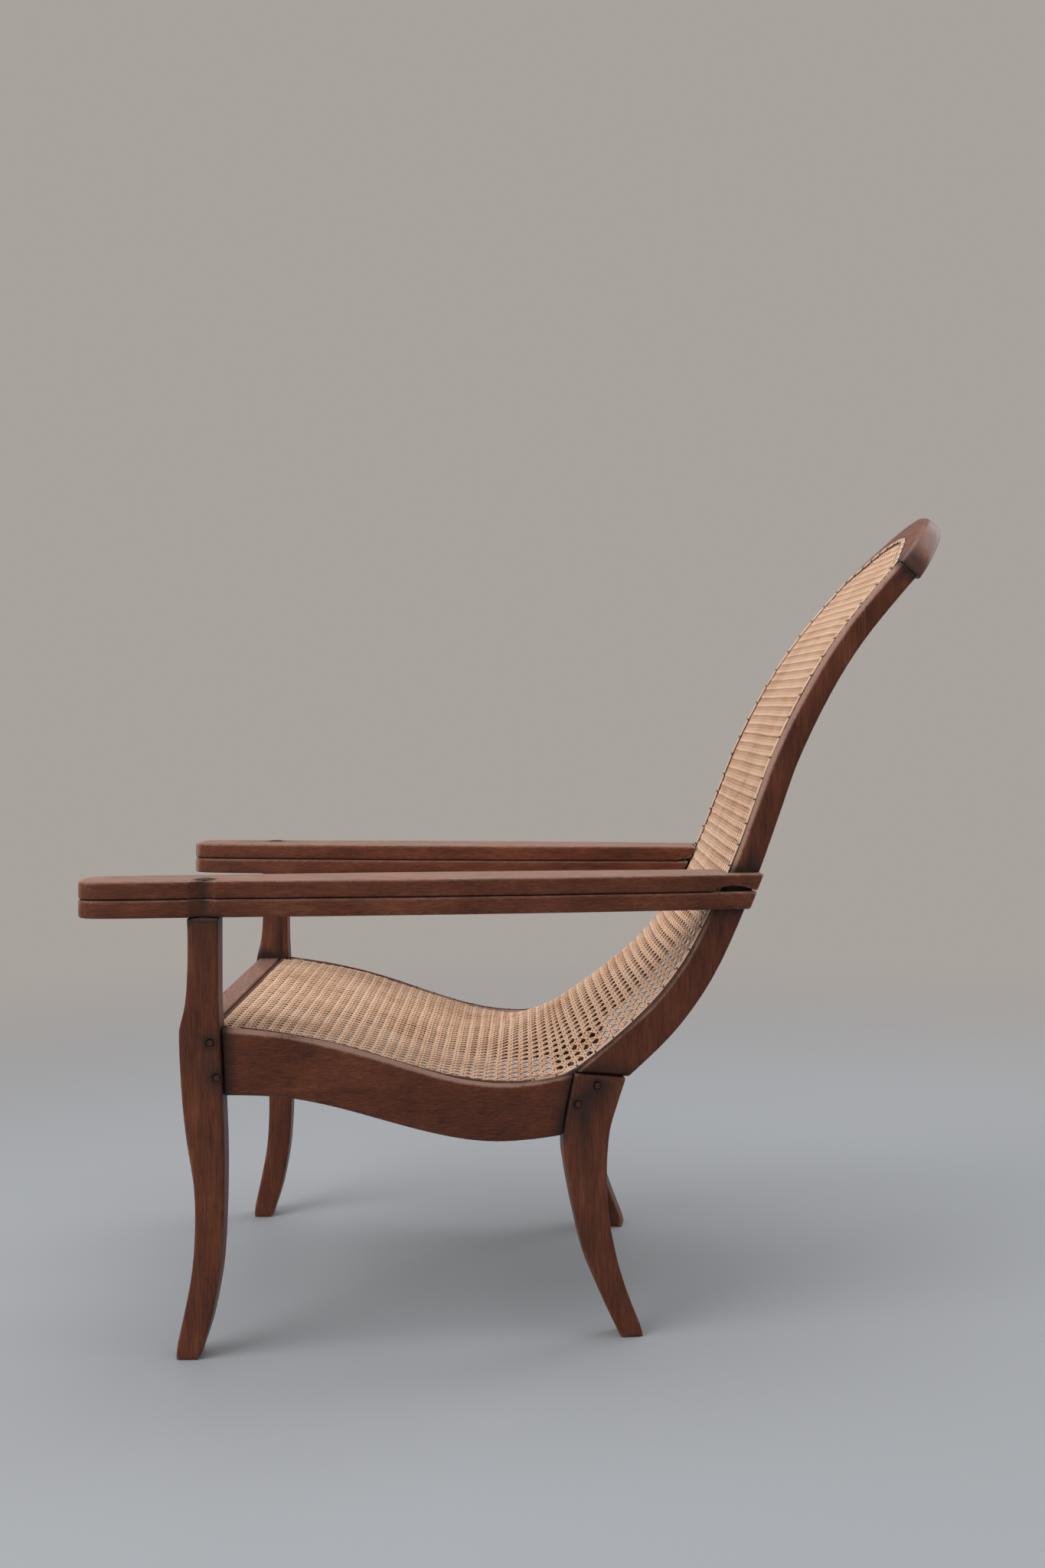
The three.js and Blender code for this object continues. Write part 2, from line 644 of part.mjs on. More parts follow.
function rearLeg() {
  const body = sideSlab(rearLegOutline, -halfLeg, halfLeg, arrisChamfer);
  const crossMortise = common(
    inSide(sideSlab(crossTenonSection(clearance), 0, frontWidth)),
    box(-frontWidth, crossTenonEnd + clearance, 0, seatEnd + overrun * 2, 0, seatHeight));
  return cut(
    body, ledgeCut, grooveCut, railRearTenon(clearance), stileTenon(clearance), crossMortise,
    ...rearPegs.map((peg) => peg(clearance)));
}

function stile() {
  const crestSpace = inSide(crestSlab([
    [-frontWidth, -clearance], [0, -clearance], [0, crestRise], [-frontWidth, crestRise],
  ], -overrun, overrun));
  const body = cut(
    sideSlab(stileOutline, frameInner, frameOuter, arrisChamfer),
    ledgeCut, grooveCut, rimCut, crestSpace);
  return cut(
    join(body, stileTenon(0), inSide(crestTenon(0))),
    rearPegs[0](clearance), armPeg(clearance), inSide(crestPeg(clearance)));
}

// an arm or a leg rest from above, as [x, y]
function boardOutline(reach) {
  const edge = (shares, length) =>
    smooth(shares.map(([out, along]) => [out * boardWidth, along * length]));
  return [
    ...edge(boardFrontShares, -reach), ...edge(boardOuterShares, rearReach),
    ...edge(boardInnerShares, rearReach),
  ];
}

function board(reach, low, play, outerPlay, rimGap, caneGap) {
  const high = low + boardThick;
  const rake = rearRake / boardThick;
  const endAt = (z) => rearReach - (armTop - z) * rake;
  const bottom = low - overrun;
  const top = high + overrun;
  const behindEnd = sideSlab([
    [endAt(bottom), bottom], [endAt(bottom) + overrun * 2, bottom],
    [endAt(bottom) + overrun * 2, top], [endAt(top), top],
  ], -frontWidth, frontWidth);
  const coveRadius = (coveLength * coveLength / 4 + coveDepth * coveDepth) / (2 * coveDepth);
  const edge = boardOuterShares[0][0] * boardWidth;
  const cove = rod(coveRadius, bottom, top, roundSides * 2)
    .translate(edge + coveRadius - coveDepth, -coveForward, 0);
  const chairBack = backLine.map(([y, z]) => [y * Math.cos(splay), z]);
  const caneSpace = common(
    inSide(behindSpace(beside(chairBack, caneGap), 0, frontWidth)),
    box(-frontWidth, grooveOuter, 0, seatEnd + backRun + overrun, 0, seatHeight + backRise));
  const stileSpace = behindSpace(
    beside(backLine, rimGap), grooveOuter - clearance, frameOuter + outerPlay);
  return cut(
    planSlab(boardOutline(reach), low, high, arrisChamfer),
    behindEnd, cove, caneSpace, stileSpace, rod(pivotRadius + play, bottom, top));
}

function arm(reach) {
  const middle = rearReach - rearRake - scoopLength / 2;
  const scoop = new THREE.SplineCurve([-1, -1 / 2, 0, 1 / 2, 1].map((t) =>
    new THREE.Vector2(middle + t * scoopLength / 2, armBottom + (1 - t * t) * scoopDepth)));
  const under = [
    ...scoop.getPoints(sectionSteps).map((p) => [p.x, p.y]),
    [middle + scoopLength / 2, armBottom - clearance / 2],
    [middle - scoopLength / 2, armBottom - clearance / 2],
  ];
  return cut(
    board(reach, armBottom, clearance, clearance, clearance, binderHigh + caneClear),
    sideSlab(under, -frontWidth, frontWidth), armPeg(clearance));
}

const legRest = (reach) => board(
  reach, restHeight + clearance, pivotPlay, restPlay, restShoulder, restShoulder);

// Pieces that span both sides, in the chair's axes

function crestRail() {
  const outerHalf = halfWidthAt(frameOuter, crestBase[0]);
  const outer = arch(outerArchShares, outerHalf, crestRise);
  const inner = arch(caneArchShares, ledgeArchHalf - ledgeWidth, archRise - ledgeWidth);
  const sections = outer.map(([x, up], i) => {
    const [innerX, innerUp] = inner[i];
    const middle = Math.sin(Math.PI * i / (outer.length - 1));
    const thick = crestEndThick + (crestMiddleThick - crestEndThick) * middle;
    const round = rimChamfer + (crestRound - rimChamfer) * middle;
    const width = Math.hypot(x - innerX, up - innerUp);
    const corner = (cx, cy, from) => [0, 1, 2, 3].map((step) => {
      const angle = from + step * Math.PI / 6;
      return [cx + Math.cos(angle) * round, cy + Math.sin(angle) * round];
    });
    const section = [
      [0, 0], ...corner(width - round, round, -Math.PI / 2),
      ...corner(width - round, thick - round, 0),
      [arrisChamfer, thick], [0, thick - arrisChamfer],
    ];
    return section.map(([out, depth]) => new THREE.Vector3(
      innerX + (x - innerX) * out / width, innerUp + (up - innerUp) * out / width, depth,
    ).applyMatrix4(onCrest));
  });
  return cut(
    loft(sections), crestSlab([[ledgeArchHalf, -overrun], ...caneArch(0),
      [-ledgeArchHalf, -overrun]], -overrun, ledgeDepth),
    ...bothSides(crestTenon(clearance)), ...bothSides(crestPeg(clearance)));
}

function frontSeatRail() {
  const end = pivotX - halfLeg - clearance;
  const ledge = common(slingSpace, box(
    -frontWidth, frontWidth, caneFront, frontRailBack + overrun, 0, seatHeight + overrun));
  const groove = box(
    -frontWidth, frontWidth, caneFront - grooveWidth, caneFront + clearance,
    seatHeight - grooveDepth, seatHeight + overrun);
  const body = cut(
    sideSlab(barSection(
      -frontRailFront, frontRailBack, frontRailBottom, seatHeight, arrisChamfer), -end, end),
    ledge, groove, ...bothSides(innerLimit(frameInner - clearance)));
  const legPegs = bothSides(railPeg(clearance).translate(pivotX, 0, 0));
  return cut(
    join(body, sideSlab(frontTenonSection(0), -frontTenonEnd, frontTenonEnd)), ...legPegs);
}

function rearCrossRail() {
  const section = barSection(
    crossFront, crossFront + crossRailThick, crossTop - crossRailDepth, crossTop, arrisChamfer);
  const bar = (points, limit) => cut(
    sideSlab(points, -frontWidth / 2, frontWidth / 2), ...bothSides(innerLimit(limit)));
  return join(bar(section, frameInner - clearance), bar(crossTenonSection(0), crossTenonEnd));
}

// the whole sheet, pulled up at its middle where the seat turns into the back
function caneSheet() {
  const above = beside(slingStations, caneThick);
  return loft(slingStations.map((station, i) => {
    const rise = slingHalf(binderInner - liftSetback)(station[0]);
    const half = Array.from({ length: liftColumns }, (_, column) =>
      Math.min((column + 1 / 2) * canePitch, rise - (liftColumns - column) * clearance));
    half.push(rise, slingHalf(ledgeOuter - clearance)(station[0]));
    const across = [...half.map((x) => -x).reverse(), ...half];
    const side = (depth) => across.map((x) => {
      const lift = liftAt(distances[i] ?? slingLength) * Math.max(0, 1 - (x / rise) ** 2);
      const [y, z] = station.map((value, axis) =>
        value + (above[i][axis] - value) * (depth + lift) / caneThick);
      return new THREE.Vector3(x, y, z);
    });
    return [...side(caneLow), ...side(caneHigh).reverse()];
  }));
}

// the woven sling as a net of eight-sided openings
function canePanel() {
  const outside = crestSlab([
    ...caneArch(clearance), [-frontWidth, 0], [-frontWidth, frontWidth],
    [frontWidth, frontWidth], [frontWidth, 0],
  ], -overrun, overrun);
  const legSpace = sideSlab(
    offset(frontLegOutline, clearance), -halfLeg - clearance, halfLeg + overrun,
  ).translate(pivotX, 0, 0);
  const openings = [];
  const radius = caneOpening / 2 / Math.cos(Math.PI / 8);
  const addRow = (place, halfSpan) => {
    const count = Math.floor((halfSpan - caneMargin - caneOpening / 2) / canePitch);
    for (let column = -count; column <= count; column += 1) {
      const opening = rod(radius, -ledgeDepth * 2, slingLift + ledgeDepth * 2, 8);
      openings.push(opening.rotateZ(Math.PI / 8).applyMatrix4(place)
        .translate(column * canePitch, 0, 0));
    }
  };
  for (let row = 0; row < netRows; row += 1) {
    const start = slingAt(netStart + row * rowPitch);
    const end = slingAt(netStart + (row + 1) * rowPitch);
    const [y, z] = start.map((value, axis) => (value + end[axis]) / 2);
    const place = new THREE.Matrix4().makeRotationX(slopeOf(start, end)).setPosition(0, y, z);
    addRow(place, halfWidthAt(frameInner, y));
  }
  const crestPlace = onCrest.clone().multiply(
    new THREE.Matrix4().makeTranslation(0, rowPitch / 2, 0));
  const archThere = caneArch(ledgeWidth).findLast(([x, up]) => x > 0 && up < rowPitch / 2);
  addRow(crestPlace, archThere[0] - caneMargin);
  return cut(
    caneSheet(), outside, ...bothSides(legSpace), mergeGeometries(openings.map(welded)));
}

function sideBinder() {
  const legSpace = sideSlab(
    offset(frontLegOutline, clearance), -overrun, overrun).translate(pivotX, 0, 0);
  return cut(
    slingStrip(stations, slingHalf(binderInner), slingHalf(binderOuter), binderLow, binderHigh),
    legSpace);
}

function frontBinder() {
  const end = pivotX - halfLeg - clearance;
  const [first, second] = stations;
  const slope = slopeOf(first, second);
  const line = [binderSetback, binderSetback + binderWidth].map((along) =>
    [first[0] + Math.cos(slope) * along, first[1] + Math.sin(slope) * along]);
  return sideSlab(
    [...beside(line, binderLow), ...beside(line, binderHigh).reverse()], -end, end);
}

function crestBinder() {
  const outer = caneArch(binderSetback);
  const inner = caneArch(binderSetback + binderWidth);
  const band = [...outer, ...inner.reverse()].map(([x, up]) => [x, up + clearance]);
  return crestSlab(band, -binderHigh, -binderLow);
}

// The chair
const chair = new THREE.Group();

function add(group, name, geometry, material) {
  const mesh = new THREE.Mesh(geometry, material);
  mesh.name = name;
  group.add(mesh);
}

const pieces = {
  front_leg: frontLeg(),
  rear_leg: rearLeg(),
  side_rail: sideRail(),
  back_stile: stile(),
};

for (const [side, sign, reach] of [['left', 1, frontReach], ['right', -1, rightFrontReach]]) {
  const handed = (geometry) => (sign > 0 ? geometry : mirrored(geometry));
  const legGroup = new THREE.Group();
  legGroup.position.x = sign * pivotX;
  const frameGroup = legGroup.clone();
  frameGroup.rotation.z = sign * splay;
  add(legGroup, `${side}_front_leg`, handed(pieces.front_leg), wood);
  frontPegs.forEach((peg, i) =>
    add(legGroup, `${side}_front_peg_${i + 1}`, handed(peg(0)), pegWood));
  add(legGroup, `${side}_rail_peg`, handed(railPeg(0)), pegWood);
  add(frameGroup, `${side}_rear_leg`, handed(pieces.rear_leg), wood);
  add(frameGroup, `${side}_side_rail`, handed(pieces.side_rail), wood);
  add(frameGroup, `${side}_back_stile`, handed(pieces.back_stile), wood);
  rearPegs.forEach((peg, i) =>
    add(frameGroup, `${side}_rear_peg_${i + 1}`, handed(peg(0)), pegWood));
  add(frameGroup, `${side}_arm`, handed(arm(reach)), armWood);
  add(frameGroup, `${side}_arm_peg`, handed(armPeg(0)), pegWood);
  add(frameGroup, `${side}_leg_rest`, handed(legRest(reach)), armWood);
  chair.add(legGroup, frameGroup);
  add(chair, `${side}_crest_peg`, handed(crestPeg(0)), pegWood);
  add(chair, `cane_binder_${side}`, handed(sideBinder()), binderCane);
}

add(chair, 'crest_rail', crestRail(), wood);
add(chair, 'front_seat_rail', frontSeatRail(), wood);
add(chair, 'rear_cross_rail', rearCrossRail(), wood);
add(chair, 'cane_panel', canePanel(), cane);
add(chair, 'cane_binder_front', frontBinder(), binderCane);
add(chair, 'cane_binder_crest', crestBinder(), binderCane);

// the chair's box is centred on the origin, with the floor at 0
const bounds = new THREE.Box3().setFromObject(chair);
const centre = bounds.getCenter(new THREE.Vector3());
chair.position.set(-centre.x, -centre.y, -bounds.min.z);

export default chair;
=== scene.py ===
import json
import math

import bmesh
import bpy
import numpy as np
from mathutils import Matrix, Vector
from mathutils.bvhtree import BVHTree
from mathutils.geometry import convex_hull_2d

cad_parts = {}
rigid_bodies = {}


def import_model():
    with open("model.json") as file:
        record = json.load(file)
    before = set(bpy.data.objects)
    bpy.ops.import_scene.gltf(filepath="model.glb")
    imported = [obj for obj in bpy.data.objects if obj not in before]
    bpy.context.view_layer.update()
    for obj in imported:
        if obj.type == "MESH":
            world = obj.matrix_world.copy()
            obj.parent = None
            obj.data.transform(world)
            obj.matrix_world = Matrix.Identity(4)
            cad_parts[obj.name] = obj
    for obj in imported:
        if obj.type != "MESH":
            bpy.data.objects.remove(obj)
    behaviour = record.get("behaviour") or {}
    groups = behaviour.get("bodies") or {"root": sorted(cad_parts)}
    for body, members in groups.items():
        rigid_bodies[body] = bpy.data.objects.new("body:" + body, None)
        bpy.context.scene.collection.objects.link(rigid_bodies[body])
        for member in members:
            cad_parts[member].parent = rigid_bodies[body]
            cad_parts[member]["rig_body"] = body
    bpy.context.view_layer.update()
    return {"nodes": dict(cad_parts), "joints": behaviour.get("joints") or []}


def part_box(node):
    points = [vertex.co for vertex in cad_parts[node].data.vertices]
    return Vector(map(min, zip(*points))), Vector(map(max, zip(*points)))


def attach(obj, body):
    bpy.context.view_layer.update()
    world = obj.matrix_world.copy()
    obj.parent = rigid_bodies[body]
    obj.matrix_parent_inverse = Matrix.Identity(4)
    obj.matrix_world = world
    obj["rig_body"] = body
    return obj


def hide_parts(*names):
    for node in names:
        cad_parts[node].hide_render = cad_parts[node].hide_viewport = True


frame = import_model()

# The chair faces -Y with its left side at +X. The leg rests' pivots give its middle.
pivots = {joint["child"]: Vector(joint["pos_m"]) for joint in frame["joints"]}
middle = (pivots["left_rest"] + pivots["right_rest"]) / 2
sides = ("left", "right")
mergeDistance = 0.00001


# Small helpers for node trees
def addNode(tree, kind, inputs=None, **settings):
    made = tree.nodes.new(kind)
    for key, value in settings.items():
        setattr(made, key, value)
    for key, value in (inputs or {}).items():
        socket = openSocket(made.inputs, key)
        if isinstance(value, bpy.types.NodeSocket):
            tree.links.new(value, socket)
        else:
            socket.default_value = value
    return made


def openSocket(sockets, key):
    if isinstance(key, int):
        return sockets[key]
    return next(socket for socket in sockets if socket.name == key and socket.enabled)


def addMath(tree, operation, *values):
    return addNode(tree, "ShaderNodeMath", dict(enumerate(values)), operation=operation).outputs[0]


def addVectorMath(tree, operation, *values, output=0):
    made = addNode(tree, "ShaderNodeVectorMath", dict(enumerate(values)), operation=operation)
    return made.outputs[output]


def addScaled(tree, vector, amount):
    return addNode(tree, "ShaderNodeVectorMath", {0: vector, "Scale": amount},
                   operation="SCALE").outputs[0]


def addRange(tree, value, old, new=(0, 1), **settings):
    return addNode(tree, "ShaderNodeMapRange", {
        "Value": value, "From Min": old[0], "From Max": old[1],
        "To Min": new[0], "To Max": new[1]}, **settings).outputs[0]


def addNoise(tree, place, noise, output=0):
    return addNode(tree, "ShaderNodeTexNoise", {"Vector": place, **noise}).outputs[output]


def addLayer(tree, name, output="Fac"):
    return addNode(tree, "ShaderNodeAttribute", attribute_name=name).outputs[output]


def mixColour(tree, share, first, second):
    mix = addNode(tree, "ShaderNodeMix", {"Factor": share, "A": first, "B": second},
                  data_type="RGBA")
    return next(socket for socket in mix.outputs if socket.enabled)


def emptyMaterial(name):
    material = bpy.data.materials.new(name)
    material.use_nodes = True
    material.node_tree.nodes.clear()
    return material


# Small helpers for meshes and lines
def newObject(name, mesh):
    made = bpy.data.objects.new(name, mesh)
    bpy.context.scene.collection.objects.link(made)
    return made


def asPlainMesh(source, name):
    graph = bpy.context.evaluated_depsgraph_get()
    mesh = bpy.data.meshes.new_from_object(source.evaluated_get(graph))
    mesh.name = name
    old = source.data
    source.modifiers.clear()
    source.data = mesh
    if old.users == 0:
        bpy.data.batch_remove([old])


def mergedCopy(nodeName):
    mesh = bmesh.new()
    mesh.from_mesh(frame["nodes"][nodeName].data)
    bmesh.ops.remove_doubles(mesh, verts=mesh.verts, dist=mergeDistance)
    return mesh


def bakedMesh(mesh, name):
    data = bpy.data.meshes.new(name)
    mesh.to_mesh(data)
    mesh.free()
    return data


def readVectors(values, count, key="co"):
    flat = np.empty(count * 3, np.float32)
    values.foreach_get(key, flat)
    return flat.reshape(-1, 3)


def writeLayer(mesh, name, values):
    layer = mesh.attributes.new(name, "FLOAT", "POINT")
    layer.data.foreach_set("value", values.astype(np.float32))


def lengthsAlong(line):
    return np.concatenate(([0], np.cumsum(np.hypot(*np.diff(line, axis=0).T))))


def waysOf(line):
    ways = np.gradient(line, axis=0)
    return ways / np.linalg.norm(ways, axis=1)[:, None]


def leftOf(ways):
    return np.column_stack((-ways[:, 1], ways[:, 0]))


def resample(line, step):
    along = lengthsAlong(line)
    places = np.linspace(0, along[-1], max(2, round(along[-1] / step)))
    return np.column_stack([np.interp(places, along, line[:, axis]) for axis in range(2)])


def soften(values, times):
    for _ in range(times):
        values[1:-1] = (values[:-2] + 2 * values[1:-1] + values[2:]) / 4


# Camera, at the photograph's place: 2.5 m to the chair's left, level, at eye height
cameraView = {
    "fromPivots": (2.494, 0.406, 0.799),
    "yaw": math.radians(1.47),
    "focalPixels": 2325,
    "centrePixel": (760, 918),
    "frameSize": (1365, 2048),
    "sensor": 36,
    "clipFrom": 0.05,
}


def makeCamera():
    width, height = cameraView["frameSize"]
    data = bpy.data.cameras.new("camera")
    data.sensor_width = cameraView["sensor"]
    data.lens = cameraView["focalPixels"] / height * cameraView["sensor"]
    data.shift_x = (width / 2 - cameraView["centrePixel"][0]) / height
    data.shift_y = (cameraView["centrePixel"][1] - height / 2) / height
    data.clip_start = cameraView["clipFrom"]
    camera = newObject("camera", data)
    x, y, z = cameraView["fromPivots"]
    yaw = cameraView["yaw"]
    right = Vector((math.sin(yaw), math.cos(yaw), 0))
    up = Vector((0, 0, 1))
    back = right.cross(up)
    turned = Matrix((right, up, back)).transposed().to_4x4()
    camera.matrix_world = Matrix.Translation((middle.x + x, middle.y + y, z)) @ turned
    bpy.context.scene.camera = camera


# Floor, background and lamps
studio = {
    "floorSize": 14.0,
    "floorColour": (0.36, 0.378, 0.405, 1),
    "floorRoughness": 0.62,
    "wallColour": (0.395, 0.362, 0.338, 1),
    "fade": (0.9, 3.2),           # from here to there the floor takes the background's colour
    "ambient": 0.62,
    "aimHeight": 0.45,            # of the point that the lamps face
    "lamps": {
        "window": {"at": (1.6, -2.2, 2.6), "size": 2.4, "power": 62, "colour": (1, 0.985, 0.96)},
        "ceiling": {"at": (-0.3, 0.4, 3.0), "size": 2.6, "power": 34, "colour": (1, 1, 1)},
        "back": {"at": (-1.7, 2.2, 1.9), "size": 1.8, "power": 14, "colour": (0.94, 0.97, 1)},
    },
}


def backgroundRays(tree):
    rays = addNode(tree, "ShaderNodeLightPath").outputs
    mirrored = addMath(tree, "MAXIMUM", rays["Is Glossy Ray"], rays["Is Transmission Ray"])
    return addMath(tree, "MAXIMUM", rays["Is Camera Ray"], mirrored)


def makeLamp(name, lamp):
    data = bpy.data.lights.new(name, "AREA")
    data.shape = "DISK"
    data.size = lamp["size"]
    data.energy = lamp["power"]
    data.color = lamp["colour"]
    made = newObject(name, data)
    made.location = lamp["at"]
    aim = Vector((0, 0, studio["aimHeight"])) - made.location
    made.rotation_euler = aim.to_track_quat("-Z", "Y").to_euler()


def makeStudio():
    bpy.ops.mesh.primitive_plane_add(size=studio["floorSize"])
    floor = bpy.context.object
    floor.name = "floor"
    floor.data.materials.append(floorMaterial())
    for name, lamp in studio["lamps"].items():
        makeLamp(name, lamp)
    world = bpy.data.worlds.new("studio")
    bpy.context.scene.world = world
    world.use_nodes = True
    tree = world.node_tree
    tree.nodes.clear()
    light = addNode(tree, "ShaderNodeBackground", {"Strength": studio["ambient"]})
    wall = addNode(tree, "ShaderNodeBackground", {"Color": studio["wallColour"]})
    mix = addNode(tree, "ShaderNodeMixShader", {
        0: backgroundRays(tree), 1: light.outputs[0], 2: wall.outputs[0]})
    addNode(tree, "ShaderNodeOutputWorld", {"Surface": mix.outputs[0]})
    bpy.context.scene.view_settings.view_transform = "Standard"


def floorMaterial():
    material = emptyMaterial("pale_floor")
    tree = material.node_tree
    place = addNode(tree, "ShaderNodeTexCoord").outputs["Object"]
    far = addVectorMath(tree, "LENGTH", place, output="Value")
    fade = addRange(tree, far, studio["fade"], interpolation_type="SMOOTHSTEP")
    floor = addNode(tree, "ShaderNodeBsdfPrincipled", {
        "Base Color": studio["floorColour"], "Roughness": studio["floorRoughness"]})
    wall = addNode(tree, "ShaderNodeEmission", {"Color": studio["wallColour"]})
    seen = addMath(tree, "MULTIPLY", fade, backgroundRays(tree))
    mix = addNode(tree, "ShaderNodeMixShader", {0: seen, 1: floor.outputs[0], 2: wall.outputs[0]})
    addNode(tree, "ShaderNodeOutputMaterial", {"Surface": mix.outputs[0]})
    return material


# Wood: old reddish hardwood, oiled and handled, lighter where edges are worn
woodLook = {
    "deep": (0.052, 0.0135, 0.0055, 1),
    "red": (0.132, 0.0335, 0.0125, 1),
    "tan": (0.215, 0.072, 0.033, 1),
    "redAt": 0.5,                 # between deep and tan
    "pore": (0.020, 0.0065, 0.0035, 1),
    # pale worn colour, also mixed in as dust and a painted sheen on faces that look up
    "worn": (0.46, 0.285, 0.22, 1),
    # grime at joints, and painted shade in concave corners and in the slit between the boards
    "grime": (0.012, 0.0075, 0.0055, 1),
    "seedShift": Vector((0.37, 0.73, 0.19)),
    "stretch": (0.045, 1, 1),     # of the fibres and pores, along the grain
    "figureStretch": (0.16, 1, 1),
    "fibre": {"Scale": 640, "Detail": 3, "Roughness": 0.6},
    "pores": {"Scale": 1500, "Detail": 1},
    "figure": {"Scale": 55, "Detail": 4, "Distortion": 0.6},
    "cloud": {"Scale": 11, "Detail": 3, "Roughness": 0.6},
    "speck": {"Scale": 260, "Detail": 4, "Roughness": 0.7},
    "bandRange": (0.34, 0.68),    # noise values that make no band and a full one
    "streakRange": (0.36, 0.66),
    "cloudRange": (0.3, 0.7),
    "poreRange": (0.6, 0.72),
    "bandShare": 0.3,
    "streakShare": 0.4,
    "patchTone": (-0.06, 0.28),
    "poreShare": 0.6,
    "wearSpeck": 1.1,             # how much specks and clouds break the wear up
    "wearCloud": 1.3,
    "wearRange": (0.35, 0.95),
    "wearShare": 0.62,
    "dustAndSheenStreak": 0.65,
    "dustAndSheenBase": 0.38,
    "dustAndSheenSpeck": 0.35,
    "grimeAndShadeCloud": 0.45,
    "grimeAndShadeRange": (0.12, 0.75),
    "grimeAndShadeShare": 0.85,
    "roughness": (0.4, 0.54),
    "wornRoughness": 0.25,        # added where the wood is worn
    "fibreRelief": 0.5,
    "poreRelief": 0.6,
    "speckRelief": 0.25,
    "bump": 0.35,
    "bumpDepth": 0.0004,
    "coatRoughness": 0.22,
    "specular": 0.3,
}


# which way the grain runs, as turns of the grain's own X
grain = {
    "X": (0, 0, 0),
    "Y": (0, 0, -math.pi / 2),
    "Z": (0, math.pi / 2, 0),
}
woodKinds = {
    "leg": {"grain": "Z", "shade": 0.06, "polish": 0.05, "seed": 1},
    "rail": {"grain": "Y", "shade": 0.08, "polish": 0.04, "seed": 2},
    "stile": {"grain": "Z", "shade": 0.05, "polish": 0.04, "seed": 3},
    "board": {"grain": "Y", "shade": 0.02, "polish": 0.05, "seed": 4},
    "cross": {"grain": "X", "shade": 0.05, "polish": 0.05, "seed": 5},
    "peg": {"grain": "X", "shade": 0.5, "polish": 0.02, "seed": 6},
    "crest": {"grain": "X", "shade": -0.18, "polish": 0.14, "seed": 7},
}


def woodMaterial(name, kind):
    look = woodLook
    material = emptyMaterial(name)
    tree = material.node_tree
    place = addNode(tree, "ShaderNodeTexCoord").outputs["Object"]
    along = addNode(tree, "ShaderNodeMapping", {
        "Vector": place, "Location": look["seedShift"] * kind["seed"],
        "Rotation": grain[kind["grain"]]}).outputs[0]
    stretched, wavy = (addNode(tree, "ShaderNodeMapping", {
        "Vector": along, "Scale": look[key]}).outputs[0] for key in ("stretch", "figureStretch"))
    fibre = addNoise(tree, stretched, look["fibre"])
    pores = addNoise(tree, stretched, look["pores"])
    figure = addNoise(tree, wavy, look["figure"])
    cloud = addNoise(tree, along, look["cloud"])
    speck = addNoise(tree, along, look["speck"])

    bands = addRange(tree, figure, look["bandRange"])
    streaks = addRange(tree, fibre, look["streakRange"])
    patches = addRange(tree, cloud, look["cloudRange"], look["patchTone"])
    tone = addMath(tree, "ADD", addMath(tree, "MULTIPLY", bands, look["bandShare"]),
                   addMath(tree, "MULTIPLY", streaks, look["streakShare"]))
    tone = addMath(tree, "ADD", addMath(tree, "ADD", tone, patches), -kind["shade"])
    ramp = addNode(tree, "ShaderNodeValToRGB", {"Fac": tone})
    ramp.color_ramp.elements[0].color = look["deep"]
    ramp.color_ramp.elements[1].color = look["tan"]
    ramp.color_ramp.elements.new(look["redAt"]).color = look["red"]
    colour = ramp.outputs[0]

    openPores = addRange(tree, pores, look["poreRange"])
    colour = mixColour(tree, addMath(tree, "MULTIPLY", openPores, look["poreShare"]), colour,
                       look["pore"])

    worn = addLayer(tree, "wear")
    rough = addMath(tree, "MULTIPLY", addMath(tree, "SUBTRACT", speck, 0.5), look["wearSpeck"])
    uneven = addMath(tree, "MULTIPLY", addMath(tree, "SUBTRACT", cloud, 0.5), look["wearCloud"])
    wornHere = addMath(tree, "ADD", addMath(tree, "ADD", worn, rough), uneven)
    wornMask = addRange(tree, wornHere, look["wearRange"], (0, look["wearShare"]))
    wornMask = addMath(tree, "MULTIPLY", wornMask, worn)
    colour = mixColour(tree, wornMask, colour, look["worn"])

    # dust and painted sheen: faces that look up are mixed towards the pale worn colour, partly for
    # dust and partly as a painted sheen of the lamps above
    dust = addMath(tree, "MULTIPLY", addLayer(tree, "dust"), addMath(
        tree, "ADD", addMath(tree, "MULTIPLY", streaks, look["dustAndSheenStreak"]), look["dustAndSheenBase"]))
    dustAndSheenMask = addMath(tree, "MULTIPLY", dust, addMath(tree, "ADD", speck, look["dustAndSheenSpeck"]))
    colour = mixColour(tree, dustAndSheenMask, colour, look["worn"])

    # grime at joints, with painted shade in concave corners and a painted shadow in the slit
    # between an arm and its leg rest
    grimeAndShadeHere = addMath(tree, "MULTIPLY", addLayer(tree, "grime"),
                        addMath(tree, "ADD", cloud, look["grimeAndShadeCloud"]))
    grimeAndShadeMask = addRange(tree, grimeAndShadeHere, look["grimeAndShadeRange"], (0, look["grimeAndShadeShare"]))
    colour = mixColour(tree, grimeAndShadeMask, colour, look["grime"])

    gloss = addRange(tree, cloud, look["cloudRange"], look["roughness"])
    gloss = addMath(tree, "ADD", gloss, addMath(tree, "MULTIPLY", wornMask, look["wornRoughness"]))
    relief = addMath(tree, "SUBTRACT", addMath(tree, "MULTIPLY", fibre, look["fibreRelief"]),
                     addMath(tree, "MULTIPLY", openPores, look["poreRelief"]))
    relief = addMath(tree, "ADD", relief, addMath(tree, "MULTIPLY", speck, look["speckRelief"]))
    bump = addNode(tree, "ShaderNodeBump", {
        "Strength": look["bump"], "Distance": look["bumpDepth"], "Height": relief}).outputs[0]
    shader = addNode(tree, "ShaderNodeBsdfPrincipled", {
        "Base Color": colour, "Roughness": gloss, "Normal": bump,
        "Coat Weight": kind["polish"], "Coat Roughness": look["coatRoughness"],
        "Specular IOR Level": look["specular"]})
    addNode(tree, "ShaderNodeOutputMaterial", {"Surface": shader.outputs[0]})
    return material


